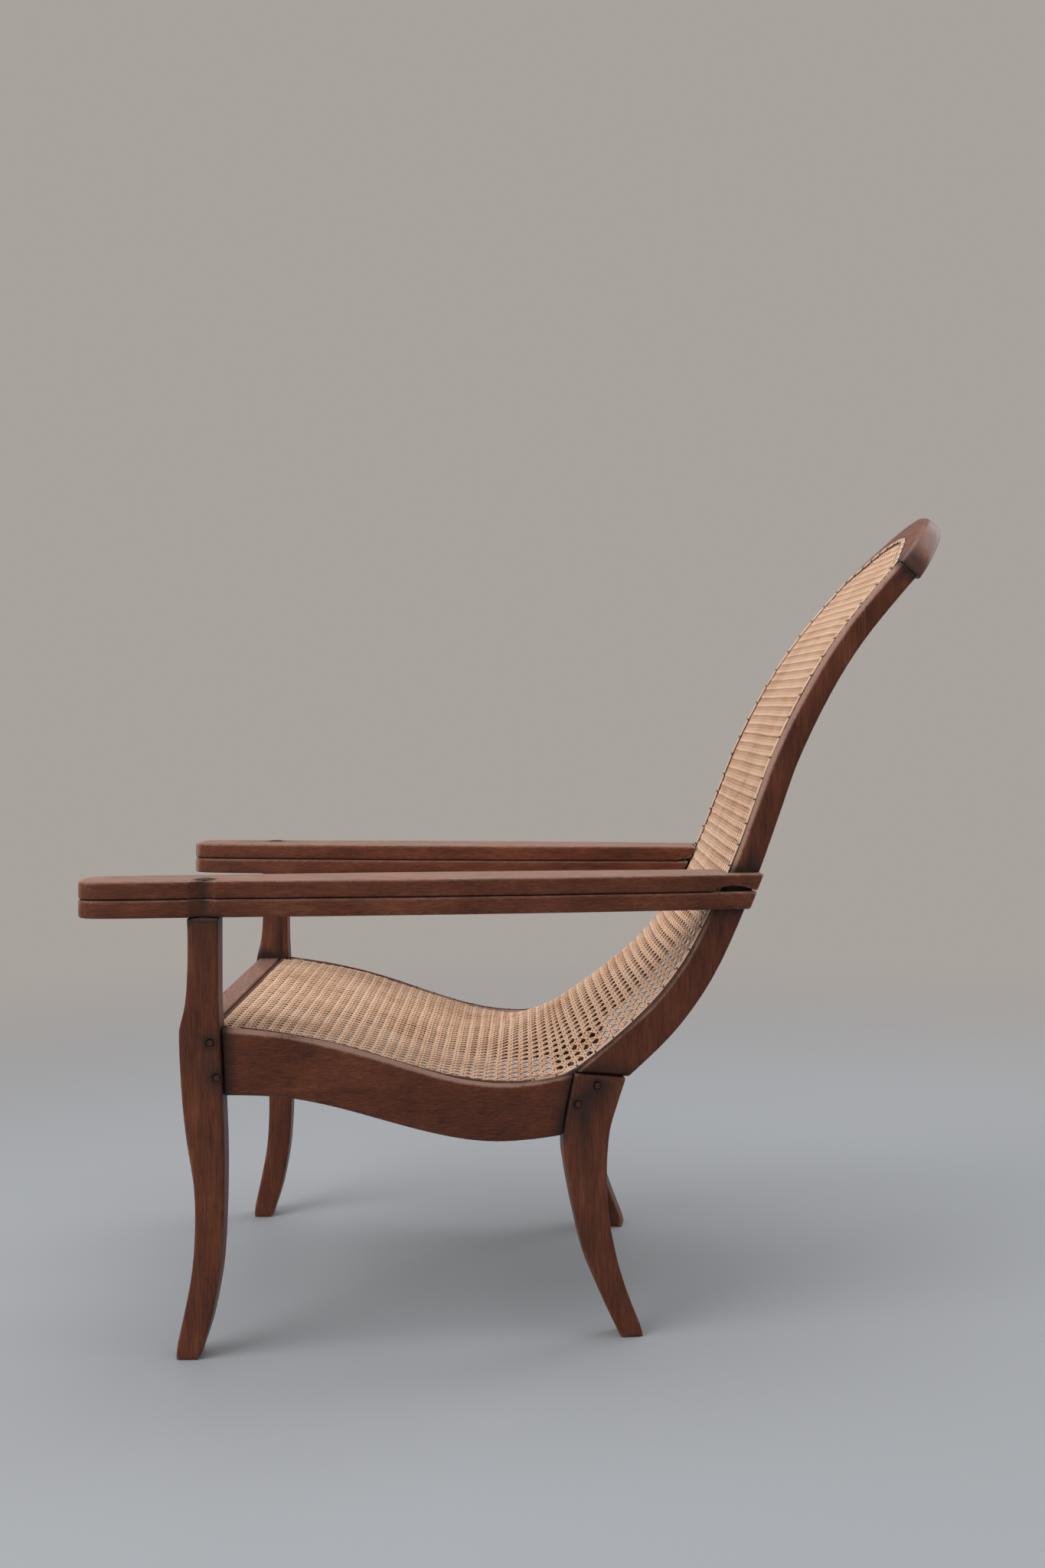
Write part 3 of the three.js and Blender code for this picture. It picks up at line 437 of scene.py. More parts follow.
# Wooden pieces: the CAD shapes with their facets rounded and their edges worn soft
woodShape = {
    "creaseAngle": math.radians(22),
    "curveLevels": 2,
    "voxel": 0.0018,
    "fineVoxel": 0.0014,          # for the pieces with a groove
    "passes": 5,                  # of smoothing, which wears the edges
    "smoothShare": 0.5,
    "keepShare": 0.22,            # of the faces, kept after thinning
    "wearRadius": 0.0035,         # an edge rounder than this isn't worn
    "wearSpread": 3,
    "rimDepth": 0.0050,           # of the pale rim along the rails and stiles
    "rimWear": 1.7,               # at its top, where 1 is all that shows
    "tipReach": 0.012,            # of the wear at a board's front end
    "tipWear": 1.3,
    "grimeReach": 0.022,          # from a joint
    "grimeAndShadeFall": 1.5,
    "boardGrimeReach": 0.013,
    "slitShadowReach": 0.0045,          # of the painted shadow in the slit between an arm and its leg rest
    "slitShadowShare": 0.75,
    "dustAndSheenShares": {"board": 0.75, "cross": 0.65},
}


def roundedPiece(nodeName, voxel):
    mesh = mergedCopy(nodeName)
    crease = mesh.edges.layers.float.new("crease_edge")
    for edge in mesh.edges:
        edge[crease] = float(edge.calc_face_angle(math.pi) > woodShape["creaseAngle"])
    piece = newObject(nodeName + "_worn", bakedMesh(mesh, nodeName + "_worn"))
    curves = piece.modifiers.new("curves", "SUBSURF")
    curves.levels = woodShape["curveLevels"]
    curves.render_levels = woodShape["curveLevels"]
    remesh = piece.modifiers.new("even faces", "REMESH")
    remesh.mode = "VOXEL"
    remesh.voxel_size = voxel
    smooth = piece.modifiers.new("worn edges", "SMOOTH")
    smooth.iterations = woodShape["passes"]
    smooth.factor = woodShape["smoothShare"]
    thin = piece.modifiers.new("fewer faces", "DECIMATE")
    thin.ratio = woodShape["keepShare"]
    asPlainMesh(piece, piece.name)
    piece.data.shade_smooth()
    return piece


def neighbourMean(edges, values, count):
    total = np.bincount(edges[:, 0], values[edges[:, 1]], count)
    total += np.bincount(edges[:, 1], values[edges[:, 0]], count)
    number = np.bincount(edges.ravel(), minlength=count)
    return total / np.maximum(number, 1)


# how sharply the surface bends at each place: above 0 on an edge, below it in a corner
def bendOf(mesh, places, normals):
    count = len(places)
    edges = np.empty(len(mesh.edges) * 2, np.int32)
    mesh.edges.foreach_get("vertices", edges)
    edges = edges.reshape(-1, 2)
    step = places[edges[:, 1]] - places[edges[:, 0]]
    length = np.maximum((step ** 2).sum(1), mergeDistance ** 2)
    number = np.maximum(np.bincount(edges.ravel(), minlength=count), 1)
    bend = np.zeros(count)
    for end, sign in ((0, -1), (1, 1)):
        slope = sign * (step * normals[edges[:, end]]).sum(1) / length
        bend += np.bincount(edges[:, end], slope, count)
    bend *= 2 * woodShape["wearRadius"] / number
    for _ in range(woodShape["wearSpread"]):
        bend = (bend + neighbourMean(edges, bend, count)) / 2
    return bend


def closeness(tree, places, reach):
    found = (tree.find_nearest(place, reach)[3] for place in places)
    return np.array([0 if away is None else (1 - away / reach) ** woodShape["grimeAndShadeFall"]
                     for away in found])


def markWearSheenAndShade(mesh, nodeName, dustAndSheenShare, hasRim, isBoard):
    count = len(mesh.vertices)
    places = readVectors(mesh.vertices, count)
    normals = readVectors(mesh.vertex_normals, count, "vector")
    bend = bendOf(mesh, places, normals)
    wear = np.clip(bend, 0, 1)
    reach = woodShape["boardGrimeReach" if isBoard else "grimeReach"]
    joint = closeness(otherPieces(nodeName), places, reach)
    if hasRim:
        wear = np.maximum(wear, woodShape["rimWear"] - rimDepth(places) / woodShape["rimDepth"])
    if isBoard:
        # painted shadow: a dark line along the slit between an arm and its leg rest
        slitShadow = closeness(otherPieces(nodeName, True), places, woodShape["slitShadowReach"])
        joint = np.maximum(joint, slitShadow * woodShape["slitShadowShare"])
        fromTip = places[:, 1] - places[:, 1].min()
        wear = np.maximum(wear, woodShape["tipWear"] - fromTip / woodShape["tipReach"])
    # dust and painted sheen, on faces that look up
    facingUp = np.clip(normals[:, 2], 0, 1) ** 2 * dustAndSheenShare
    # grime near joints, and painted shade where the surface bends into a corner (-bend)
    for name, values in (("wear", wear), ("dust", facingUp),
                         ("grime", np.maximum(joint, -bend))):
        writeLayer(mesh, name, np.clip(values, 0, 1))


# how far each place lies below the top of its rail or stile
def rimDepth(places):
    offsets = places[:, None, 1:] - slingLine[None]
    nearest = (offsets ** 2).sum(2).argmin(1)
    height = (offsets[np.arange(len(places)), nearest] * slingUps[nearest]).sum(1)
    top = np.full(len(slingLine), -1.0)
    np.maximum.at(top, nearest, height)
    return top[nearest] - height


# the CAD solids of the other pieces, to find what lies close to one: of those that are
# joined to it, or of the boards when it is one
def otherPieces(nodeName, against=False):
    mesh = bmesh.new()
    boards = ("arm", "leg_rest")
    for name, node in frame["nodes"].items():
        bothBoards = name.endswith(boards) and nodeName.endswith(boards)
        if name != nodeName and bothBoards == against and not name.startswith("cane"):
            mesh.from_mesh(node.data)
    tree = BVHTree.FromBMesh(mesh)
    mesh.free()
    return tree


# Cane: six-way weave on the sling, made of one repeated cell
caneWeave = {
    "pitch": 0.0145,
    "columnWidth": 0.0029,        # of the strands along the sling
    "rowWidth": 0.0024,           # and of those across it
    "diagonalWidth": 0.0026,
    "strandThick": 0.00095,
    "crown": 0.66,                # share of a strand's width that its flat top takes
    "pairSpread": 0.0017,         # of each strand from the pair's middle
    "pairLift": 0.00042,
    "diagonalLift": 0.00070,
    "diagonalShares": (0, 0.28, 0.72, 1),
    "weld": 0.00004,              # strands of neighbouring cells join within this
    "depth": 0.0014,              # of the weave's middle below the CAD sheet's top
    "trim": 0.0016,               # kept clear of the sheet's edge
    "flatEdge": 0.0095,           # beside the edge, where the sheet isn't lifted
    "wander": 0.0009,
    "fineNoise": {"Scale": 45, "Detail": 1},
    "slowNoise": {"Scale": 9, "Detail": 1},
    "slowShare": (3, 3, 4),       # of the slow noise against the fine one
    "wornSpot": (0.2, 0.5, 0),    # loose strands near the left rear corner of the seat
    "wornReach": 0.11,
    "wornWander": 6,              # times the wander, at the spot's middle
    "pieces": 4,                  # along the sling
}
# "dark" is the lacing, and the binder along the rails, where it paints the groove's shadow
strandKinds = {"column": 0, "row": 1, "rising": 2, "falling": 3, "dark": 9}

slingSurvey = {
    "barX": 0.026,                # between two rows of the CAD net's openings
    "halfWidth": 0.2935,          # of the sheet at the pivots
    "splay": math.radians(7),
    "edgeFrom": 0.1,              # where the edge is surveyed, behind the pivots
    "edgeTo": 0.86,
    "inset": 0.0012,
    "edgeInset": 0.0036,
    "reach": 0.08,
    "away": 1,                    # of a ray's start from the sheet's box
    "samples": 700,
    "step": 0.004,
    "smoothing": 24,
    "frontClear": 0.001,
    "widerFirst": 0.0001,         # for the order of edge points at one length
}


# the sling's edge line from the front rail to the crest, with its half width and its
# middle's lift off that line all along
def measureSling():
    survey = slingSurvey
    low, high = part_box("cane_panel")
    mesh = mergedCopy("cane_panel")
    tree = BVHTree.FromBMesh(mesh)
    mesh.free()
    inset = survey["inset"]
    across = middle.x + survey["halfWidth"] - survey["edgeInset"]
    line = []
    for y in np.linspace(low.y + inset, high.y - inset, survey["samples"]):
        fromPivots = y - middle.y
        x = middle.x + survey["barX"]
        if survey["edgeFrom"] < fromPivots < survey["edgeTo"]:
            x = across - math.tan(survey["splay"]) * fromPivots
        hit = tree.ray_cast(Vector((x, y, high.z + survey["away"])), Vector((0, 0, -1)))[0]
        if hit:
            line.append((hit.y, hit.z))
    line = resample(np.array(line), survey["step"])
    halves, lifts = [], []
    for (y, z), (upY, upZ) in zip(line, leftOf(waysOf(line))):
        side = Vector((high.x + survey["away"], y - upY * inset, z - upZ * inset))
        hit = tree.ray_cast(side, Vector((-1, 0, 0)))[0]
        halves.append(hit.x - middle.x if hit else halves[-1] if halves else 0)
        reach = survey["reach"]
        start = Vector((middle.x + survey["barX"], y + upY * reach, z + upZ * reach))
        hit = tree.ray_cast(start, Vector((0, -upY, -upZ)))[0]
        lifts.append(max(0, reach - (hit - start).length) if hit else 0)
    lifts = np.array(lifts)
    soften(line, survey["smoothing"])
    soften(lifts, survey["smoothing"])
    edge = flatEdge(line)
    halves = np.minimum(halves, np.interp(lengthsAlong(line), edge[:, 1], edge[:, 0]))
    return line, leftOf(waysOf(line)), halves, lifts, edge


# the flat sheet's left edge from the front up to the crest's middle, as half widths and
# lengths along the sling: the sheet's outline is convex
def flatEdge(line):
    mesh = mergedCopy("cane_panel")
    places = np.array([vert.co for vert in mesh.verts])
    mesh.free()
    offsets = places[:, None, 1:] - line[None]
    nearest = (offsets ** 2).sum(2).argmin(1)
    rows = np.arange(len(places))
    past = (offsets[rows, nearest] * waysOf(line)[nearest]).sum(1)
    along = lengthsAlong(line)[nearest] + past
    flat = np.column_stack((np.abs(places[:, 0] - middle.x), along))
    flat = np.vstack((flat, flat * (-1, 1)))
    hull = flat[convex_hull_2d([Vector(place) for place in flat])]
    left = hull[(hull[:, 0] >= 0) & (hull[:, 1] > slingSurvey["frontClear"])]
    return left[np.argsort(left[:, 1] - left[:, 0] * slingSurvey["widerFirst"])]


# one cell of the weave round the crossing of two pairs, as strips of a crowned section
def makeCell():
    half = caneWeave["pitch"] / 2
    spread = caneWeave["pairSpread"]
    mesh = bmesh.new()
    layers = (mesh.verts.layers.float_vector.new("core"), mesh.verts.layers.float.new("kind"),
              mesh.verts.layers.float.new("shade"))
    for kind, width in (("column", "columnWidth"), ("row", "rowWidth")):
        for side in (-1, 1):
            offset = side * spread
            up = side * (-1 if kind == "row" else 1) * caneWeave["pairLift"]
            points = []
            for run, height in ((-half, 0), (-spread, -up), (spread, up), (half, 0)):
                points.append((run, offset, height) if kind == "row" else (offset, run, height))
            addStrip(mesh, layers, points, caneWeave[width], strandKinds[kind])
    for kind, rising in (("rising", 1), ("falling", -1)):
        over = caneWeave["diagonalLift"] * rising
        for start, end, first in (((-half, 0), (0, half * rising), -over),
                                  ((0, -half * rising), (half, 0), over)):
            points = [(start[0] + (end[0] - start[0]) * share,
                       start[1] + (end[1] - start[1]) * share,
                       first if share < 0.5 else -first)
                      for share in caneWeave["diagonalShares"]]
            addStrip(mesh, layers, points, caneWeave["diagonalWidth"], strandKinds[kind])
    return newObject("cane_cell", bakedMesh(mesh, "cane_cell"))


def addStrip(mesh, layers, points, width, strandKind):
    core, kind, shade = layers
    run = Vector(points[-1]) - Vector(points[0])
    side = Vector((-run.y, run.x, 0)).normalized() * width / 2
    thick = caneWeave["strandThick"]
    crown = caneWeave["crown"]
    rings = []
    for point in points:
        ring = []
        for across, rise in ((-1, -0.5), (-crown, 0.5), (crown, 0.5), (1, -0.5)):
            vert = mesh.verts.new(Vector(point) + side * across + Vector((0, 0, rise * thick)))
            vert[core] = side * across
            vert[kind] = strandKind
            vert[shade] = 0.5 - rise
            ring.append(vert)
        rings.append(ring)
    joinRings(mesh, rings)


def joinRings(mesh, rings):
    for first, second in zip(rings, rings[1:]):
        for i in range(len(first)):
            j = (i + 1) % len(first)
            mesh.faces.new((first[i], second[i], second[j], first[j]))


# Geometry Nodes that lay flat cells on the sling. x runs across it and y along it.
def namedLayer(tree, name, kind="FLOAT"):
    return addNode(tree, "GeometryNodeInputNamedAttribute", {"Name": name},
                   data_type=kind).outputs[0]


def sampleLine(tree, line, layer, along):
    found = addNode(tree, "GeometryNodeSampleCurve", {
        "Curves": line, "Value": namedLayer(tree, layer), "Length": along},
        mode="LENGTH", data_type="FLOAT").outputs
    return openSocket(found, "Value")


def weaveTree():
    tree = bpy.data.node_groups.new("cane weave", "GeometryNodeTree")
    face = tree.interface
    for name, kind in (("Cells", "Geometry"), ("Cell", "Object"), ("Line", "Object"),
                       ("Trim", "Float"), ("Flat Edge", "Float"), ("Wander", "Float"),
                       ("Depth", "Float"), ("Middle", "Float"), ("Worn Spot", "Vector"),
                       ("Worn Reach", "Float"), ("Cane", "Material")):
        face.new_socket(name, in_out="INPUT", socket_type="NodeSocket" + kind)
    face.new_socket("Weave", in_out="OUTPUT", socket_type="NodeSocketGeometry")
    given = addNode(tree, "NodeGroupInput").outputs
    cell = addNode(tree, "GeometryNodeObjectInfo", {"Object": given["Cell"]}).outputs["Geometry"]
    lineMesh = addNode(tree, "GeometryNodeObjectInfo", {"Object": given["Line"]})
    line = addNode(tree, "GeometryNodeMeshToCurve", {
        "Mesh": lineMesh.outputs["Geometry"]}).outputs[0]
    spread = addNode(tree, "GeometryNodeInstanceOnPoints", {
        "Points": given["Cells"], "Instance": cell}).outputs[0]
    real = addNode(tree, "GeometryNodeRealizeInstances", {"Geometry": spread}).outputs[0]

    place = addNode(tree, "GeometryNodeInputPosition").outputs[0]
    centre = addVectorMath(tree, "SUBTRACT", place, namedLayer(tree, "core", "FLOAT_VECTOR"))
    flat = addVectorMath(tree, "ADD", place, strandShift(tree, given, centre))
    stored = addNode(tree, "GeometryNodeStoreNamedAttribute", {
        "Geometry": real, "Name": "flat", "Value": flat},
        data_type="FLOAT_VECTOR", domain="POINT").outputs[0]

    centreParts = addNode(tree, "ShaderNodeSeparateXYZ", {0: centre}).outputs
    room = addMath(tree, "SUBTRACT", sampleLine(tree, line, "half", centreParts[1]),
                   given["Trim"])
    outside = addMath(tree, "GREATER_THAN", addMath(tree, "ABSOLUTE", centreParts[0]), room)
    kept = addNode(tree, "GeometryNodeDeleteGeometry", {
        "Geometry": stored, "Selection": outside}, domain="POINT").outputs[0]

    placed = addNode(tree, "GeometryNodeSetPosition", {
        "Geometry": kept, "Position": placeOnSling(tree, given, line)}).outputs[0]
    joined = addNode(tree, "GeometryNodeMergeByDistance", {
        "Geometry": placed, "Distance": caneWeave["weld"]}).outputs[0]
    dressed = addNode(tree, "GeometryNodeSetMaterial", {
        "Geometry": joined, "Material": given["Cane"]}).outputs[0]
    addNode(tree, "NodeGroupOutput", {0: dressed})
    return tree


# the strands' wander, which grows towards the worn spot
def strandShift(tree, given, centre):
    ground = addVectorMath(tree, "MULTIPLY", centre, (1, 1, 0))
    fine, slow = (
        addVectorMath(tree, "SUBTRACT", addNoise(tree, ground, caneWeave[key], "Color"),
                      (0.5, 0.5, 0.5))
        for key in ("fineNoise", "slowNoise"))
    shift = addVectorMath(tree, "ADD", fine, addVectorMath(
        tree, "MULTIPLY", slow, caneWeave["slowShare"]))
    fromSpot = addVectorMath(tree, "DISTANCE", ground, given["Worn Spot"], output="Value")
    loose = addRange(tree, fromSpot, (0, given["Worn Reach"]), (caneWeave["wornWander"], 1),
                     interpolation_type="SMOOTHSTEP")
    return addScaled(tree, shift, addMath(tree, "MULTIPLY", loose, given["Wander"]))


def placeOnSling(tree, given, line):
    flat = namedLayer(tree, "flat", "FLOAT_VECTOR")
    flatParts = addNode(tree, "ShaderNodeSeparateXYZ", {0: flat}).outputs
    onLine = addNode(tree, "GeometryNodeSampleCurve", {
        "Curves": line, "Length": flatParts[1]}, mode="LENGTH").outputs
    up = addVectorMath(tree, "CROSS_PRODUCT", (1, 0, 0), onLine["Tangent"])
    lift = sampleLine(tree, line, "lift", flatParts[1])
    rise = addMath(tree, "SUBTRACT", sampleLine(tree, line, "half", flatParts[1]),
                   given["Flat Edge"])
    share = addMath(tree, "DIVIDE", flatParts[0], rise)
    crown = addMath(tree, "MAXIMUM", addMath(
        tree, "SUBTRACT", 1, addMath(tree, "MULTIPLY", share, share)), 0)
    raised = addMath(tree, "MULTIPLY", lift, crown)
    height = addMath(tree, "SUBTRACT", addMath(
        tree, "ADD", flatParts[2], raised), given["Depth"])
    across = addNode(tree, "ShaderNodeCombineXYZ", {
        0: addMath(tree, "ADD", flatParts[0], given["Middle"])}).outputs[0]
    return addVectorMath(tree, "ADD", addVectorMath(
        tree, "ADD", onLine["Position"], addScaled(tree, up, height)), across)


def setInputs(modifier, values):
    for item in modifier.node_group.interface.items_tree:
        if item.item_type == "SOCKET" and item.in_out == "INPUT" and item.name in values:
            modifier[item.identifier] = values[item.name]


def makeGuide(line, halves, lifts):
    mesh = bpy.data.meshes.new("sling_line")
    count = len(line)
    mesh.from_pydata([(0, y, z) for y, z in line], [(i, i + 1) for i in range(count - 1)], [])
    writeLayer(mesh, "half", halves)
    writeLayer(mesh, "lift", lifts)
    return newObject("sling_line", mesh)


# lays copies of a flat cell on the sling, one on each of the flat places given
def layOnSling(tree, name, cells, cell, guide, values, material):
    data = bpy.data.meshes.new("cells")
    data.from_pydata(cells, [], [])
    piece = newObject(name, data)
    modifier = piece.modifiers.new("weave", "NODES")
    modifier.node_group = tree
    setInputs(modifier, {
        "Cell": cell, "Line": guide, "Flat Edge": caneWeave["flatEdge"], "Middle": middle.x,
        "Worn Spot": caneWeave["wornSpot"], "Worn Reach": caneWeave["wornReach"],
        "Cane": material, **values})
    asPlainMesh(piece, piece.name)
    closeEnds(piece.data)
    piece.data.shade_smooth()
    return piece


def closeEnds(data):
    mesh = bmesh.new()
    mesh.from_mesh(data)
    loose = [vert for vert in mesh.verts if not vert.link_faces]
    bmesh.ops.delete(mesh, geom=loose, context="VERTS")
    rims = [edge for edge in mesh.edges if edge.is_boundary]
    bmesh.ops.holes_fill(mesh, edges=rims, sides=4)
    bmesh.ops.recalc_face_normals(mesh, faces=mesh.faces)
    mesh.to_mesh(data)
    mesh.free()


def makeWeave(tree, guide, total, halfWidth, material):
    weave = caneWeave
    cell = makeCell()
    pitch = weave["pitch"]
    rows = int(total / pitch)
    columns = int(halfWidth / pitch) + 1
    made = []
    for part in range(weave["pieces"]):
        first = rows * part // weave["pieces"]
        last = rows * (part + 1) // weave["pieces"]
        cells = [(column * pitch, (row + 0.5) * pitch, 0)
                 for row in range(first, last)
                 for column in range(-columns, columns + 1)]
        made.append(layOnSling(tree, f"cane_weave_{part + 1}", cells, cell, guide, {
            "Trim": weave["trim"], "Wander": weave["wander"], "Depth": weave["depth"]},
            material))
    bpy.data.objects.remove(cell)
    return made


# Cane binder: a strip over the weave's edge, laced down through the rail
caneBinder = {
    "setback": 0.0006,            # from the sheet's edge
    "railWidth": 0.0016,
    "stileWidth": 0.0092,
    "widenFrom": 0.40,            # along the sling from the front rail
    "widenTo": 0.50,
    "thick": 0.0016,
    "rise": 0.0014,               # of its middle above the weave's middle
    "railRise": 0.0003,
    "section": ((0, -0.5), (0, 0.15), (0.2, 0.5), (0.8, 0.5), (1, 0.15), (1, -0.5)),
    "scallop": 0.0005,
    "lacingEvery": 0.0295,
    "lacingWidth": 0.0024,
    "lacingOutside": 0.0004,      # of the binder's outer edge
    "lacingLonger": 0.0012,       # than the binder is wide
    "lacingAbove": 0.0004,
    "frontShort": 0.014,          # of the front strip at each end, clear of the legs
    "archLength": 0.07,           # of the sling over which its edge arches over
    "step": 0.0036,
    "smoothing": 6,
    "frontSteps": 6,              # left off at the front rail
    "wander": 0.0002,
    "trim": -1,                   # nothing is cut off beyond the sheet's edge
}


def binderPath(name, left):
    binder = caneBinder
    if name == "front":
        wide = left[0, 0] - binder["frontShort"]
        return resample(np.array(((-wide, 0), (wide, 0))), binder["step"])
    edge = resample(np.vstack((left, left[::-1] * (-1, 1))), binder["step"])
    soften(edge, binder["smoothing"])
    arch = np.flatnonzero(edge[:, 1] > edge[:, 1].max() - binder["archLength"])
    if name == "left":
        return edge[binder["frontSteps"]:arch[0] + 1]
    if name == "crest":
        return edge[arch[0]:arch[-1] + 1]
    return edge[arch[-1]:-binder["frontSteps"]]


def makeBinder(name, tree, guide, left, material):
    binder = caneBinder
    path = binderPath(name, left)
    ways = waysOf(path)
    inward = leftOf(ways)
    runs = lengthsAlong(path)
    mesh = bmesh.new()
    kind = mesh.verts.layers.float.new("kind")
    rings = []
    for spot, way, run in zip(path, inward, runs):
        wide, rise = binderSize(spot[1] if name != "front" else 0)
        wide += binder["scallop"] * math.cos(2 * math.pi * run / binder["lacingEvery"])
        ring = binderRing(mesh, spot, way, binder["setback"], wide, rise)
        # off the stiles, along the rails and the front, the binder takes the dark kind: a painted
        # groove shadow
        onStile = spot[1] > binder["widenFrom"]
        for vert in ring:
            vert[kind] = strandKinds["column" if onStile else "dark"]
        rings.append(ring)
    joinSolid(mesh, rings)
    lastTurn = -1
    for spot, way, ahead, run in zip(path, inward, ways, runs):
        turn = int(run / binder["lacingEvery"] + 0.5)
        if turn == lastTurn or turn == 0:
            continue
        lastTurn = turn
        wide, rise = binderSize(spot[1] if name != "front" else 0)
        ends = [binderRing(mesh, spot + ahead * shift, way,
                           binder["setback"] - binder["lacingOutside"],
                           wide + binder["lacingLonger"], rise + binder["lacingAbove"])
                for shift in (-binder["lacingWidth"] / 2, binder["lacingWidth"] / 2)]
        for vert in ends[0] + ends[1]:
            vert[kind] = strandKinds["dark"]
        joinSolid(mesh, ends)
    flat = newObject("flat_binder", bakedMesh(mesh, "flat_binder"))
    piece = layOnSling(tree, f"binder_{name}", [(0, 0, 0)], flat, guide, {
        "Trim": binder["trim"], "Wander": binder["wander"], "Depth": 0.0}, material)
    bpy.data.objects.remove(flat)
    return piece


# its width and its rise above the weave's middle, at a distance along the sling
def binderSize(along):
    binder = caneBinder
    share = (along - binder["widenFrom"]) / (binder["widenTo"] - binder["widenFrom"])
    share = min(1, max(0, share))
    return (binder["railWidth"] + (binder["stileWidth"] - binder["railWidth"]) * share,
            binder["railRise"] + (binder["rise"] - binder["railRise"]) * share)


def binderRing(mesh, spot, way, setback, wide, rise):
    ring = []
    for across, high in caneBinder["section"]:
        x, along = spot + way * (setback + wide * across)
        ring.append(mesh.verts.new((x, along, rise + high * caneBinder["thick"])))
    return ring


def joinSolid(mesh, rings):
    joinRings(mesh, rings)
    mesh.faces.new(rings[0][::-1])
    mesh.faces.new(rings[-1])


caneLook = {
    "pale": (0.95, 0.685, 0.51, 1),
    "straw": (0.84, 0.535, 0.35, 1),
    "dark": (0.50, 0.25, 0.135, 1),
    "binderPale": (0.76, 0.56, 0.42, 1),
    "binder": (0.66, 0.46, 0.33, 1),
    "binderDark": (0.48, 0.30, 0.19, 1),
    "strawAt": 0.42,              # between dark and pale
    "soilAndShade": (0.085, 0.036, 0.02, 1),  # painted shade and soil, low on the strands' sides
    "soilAndShadeShare": 0.92,
    "soilAndShadePower": 0.6,
    "lacingAndGrooveShadow": (0.10, 0.05, 0.035, 1),
    "lacingAndGrooveShadowFrom": 7.5,            # the kinds of strand above this take the lacing's colour, which on the binder along the rails is a painted groove shadow
    "strand": {"Scale": 240, "Detail": 0},
    "slow": {"Scale": 14, "Detail": 3, "Roughness": 0.6},
    "fine": {"Scale": 900, "Detail": 2},
    "strandShare": 0.8,
    "slowShare": 0.9,
    "fineShare": 0.35,
    "toneRange": (0.65, 1.45),
    "bump": 0.3,
    "bumpDepth": 0.0002,
    "roughness": 0.5,
    "specular": 0.4,
}


def caneMaterial(name, pale, straw, dark):
    look = caneLook
    material = emptyMaterial(name)
    tree = material.node_tree
    kind = addLayer(tree, "kind")
    place = addNode(tree, "ShaderNodeTexCoord").outputs["Object"]
    parts = addNode(tree, "ShaderNodeSeparateXYZ", {0: addLayer(tree, "flat", "Vector")}).outputs
    isWeft = addMath(tree, "GREATER_THAN", kind, 0.5)
    acrossWarp = addMath(tree, "MULTIPLY", parts[0], addMath(tree, "SUBTRACT", 1, isWeft))
    acrossWeft = addMath(tree, "MULTIPLY", parts[1], isWeft)
    lane = addMath(tree, "ADD", acrossWarp, acrossWeft)
    laneVector = addNode(tree, "ShaderNodeCombineXYZ", {0: lane, 1: kind}).outputs[0]
    strand = addNoise(tree, laneVector, look["strand"])
    slow = addNoise(tree, place, look["slow"])
    fine = addNoise(tree, place, look["fine"])
    tone = addMath(tree, "ADD", addMath(tree, "MULTIPLY", strand, look["strandShare"]),
                   addMath(tree, "MULTIPLY", slow, look["slowShare"]))
    tone = addMath(tree, "ADD", tone, addMath(tree, "MULTIPLY", fine, look["fineShare"]))
    ramp = addNode(tree, "ShaderNodeValToRGB", {"Fac": addRange(tree, tone, look["toneRange"])})
    ramp.color_ramp.elements[0].color = dark
    ramp.color_ramp.elements[1].color = pale
    ramp.color_ramp.elements.new(look["strawAt"]).color = straw
    # painted shade and soil: the strands darken from their crowns down their sides
    soiledAndShaded = addMath(tree, "MULTIPLY", addMath(
        tree, "POWER", addLayer(tree, "shade"), look["soilAndShadePower"]), look["soilAndShadeShare"])
    colour = mixColour(tree, soiledAndShaded, ramp.outputs[0], look["soilAndShade"])
    # the lacing's dark colour, which on the binder along the rails is a painted groove shadow
    isLacingAndGrooveShadow = addMath(tree, "GREATER_THAN", kind, look["lacingAndGrooveShadowFrom"])
    colour = mixColour(tree, isLacingAndGrooveShadow, colour, look["lacingAndGrooveShadow"])
    bump = addNode(tree, "ShaderNodeBump", {
        "Strength": look["bump"], "Distance": look["bumpDepth"], "Height": fine}).outputs[0]
    shader = addNode(tree, "ShaderNodeBsdfPrincipled", {
        "Base Color": colour, "Roughness": look["roughness"], "Normal": bump,
        "Specular IOR Level": look["specular"]})
    addNode(tree, "ShaderNodeOutputMaterial", {"Surface": shader.outputs[0]})
    return material


# Build
makeCamera()
makeStudio()
print("stage: camera, floor and lamps")

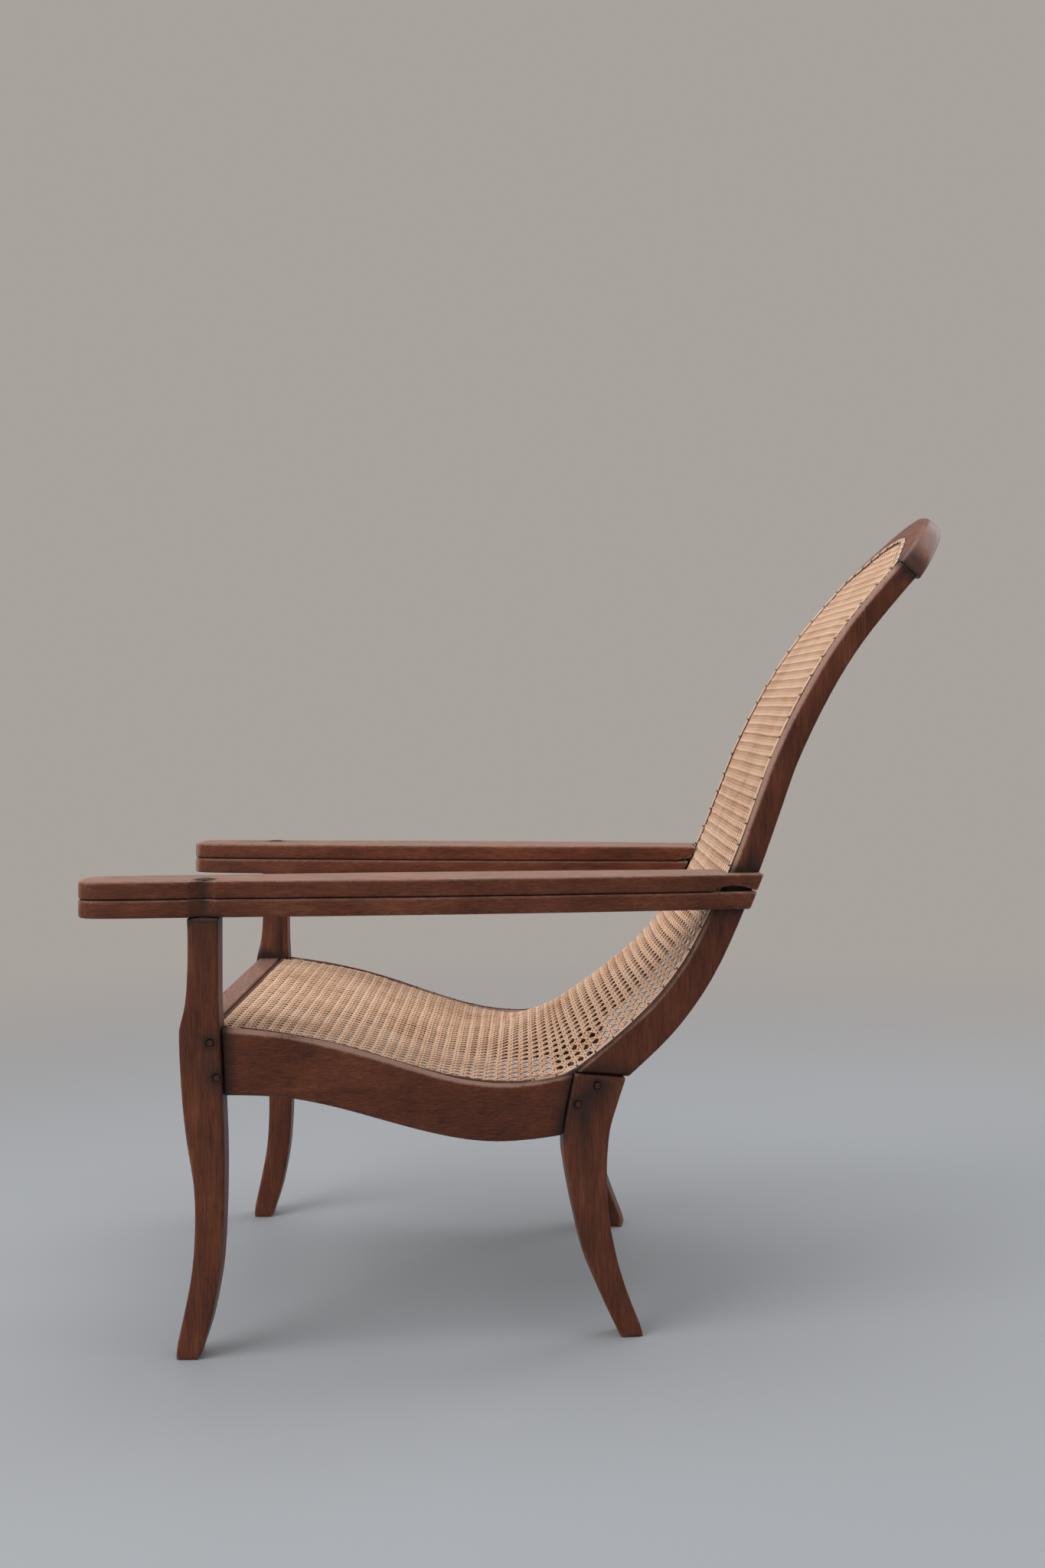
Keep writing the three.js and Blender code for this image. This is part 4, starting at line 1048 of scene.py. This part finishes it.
slingLine, slingUps, slingHalves, slingLifts, slingEdge = measureSling()
print("stage: sling of", len(slingLine), "steps, half width up to", round(slingHalves.max(), 3),
      "and lift up to", round(slingLifts.max(), 3))

woods = {name: woodMaterial(f"{name}_wood", kind) for name, kind in woodKinds.items()}
# the pieces of each side, and those between the sides, with their wood and voxel size
sideNodes = {
    "front_leg": ("leg", "voxel"),
    "rear_leg": ("leg", "voxel"),
    "side_rail": ("rail", "fineVoxel"),
    "back_stile": ("stile", "fineVoxel"),
    "arm": ("board", "voxel"),
    "leg_rest": ("board", "voxel"),
}
crossNodes = {
    "front_seat_rail": ("cross", "fineVoxel"),
    "crest_rail": ("crest", "fineVoxel"),
    "rear_cross_rail": ("crest", "fineVoxel"),
}


def dressWood(nodeName, wood, voxelName):
    node = frame["nodes"][nodeName]
    piece = roundedPiece(nodeName, woodShape[voxelName])
    dustAndSheenShare = woodShape["dustAndSheenShares"].get(wood, 0)
    markWearSheenAndShade(piece.data, nodeName, dustAndSheenShare, wood in ("rail", "stile"), wood == "board")
    piece.data.materials.clear()
    piece.data.materials.append(woods[wood])
    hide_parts(nodeName)
    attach(piece, node["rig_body"])


for side in sides:
    for name, (wood, voxelName) in sideNodes.items():
        dressWood(f"{side}_{name}", wood, voxelName)
for name, (wood, voxelName) in crossNodes.items():
    dressWood(name, wood, voxelName)
for name, node in frame["nodes"].items():
    if "_peg" in name:
        node.data.materials.clear()
        node.data.materials.append(woods["peg"])
print("stage: wood")

cane = caneMaterial("cane", caneLook["pale"], caneLook["straw"], caneLook["dark"])
binderCane = caneMaterial("binder_cane", caneLook["binderPale"], caneLook["binder"],
                          caneLook["binderDark"])
guide = makeGuide(slingLine, slingHalves, slingLifts)
slingLength = lengthsAlong(slingLine)[-1]
layTree = weaveTree()
for piece in makeWeave(layTree, guide, slingLength, slingHalves.max(), cane):
    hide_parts("cane_panel")
    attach(piece, "frame")
    print(piece.name, len(piece.data.polygons), "faces")
print("stage: weave")
for name in ("left", "right", "front", "crest"):
    piece = makeBinder(name, layTree, guide, slingEdge, binderCane)
    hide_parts(f"cane_binder_{name}")
    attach(piece, "frame")
bpy.data.objects.remove(guide)
print("stage: binder")
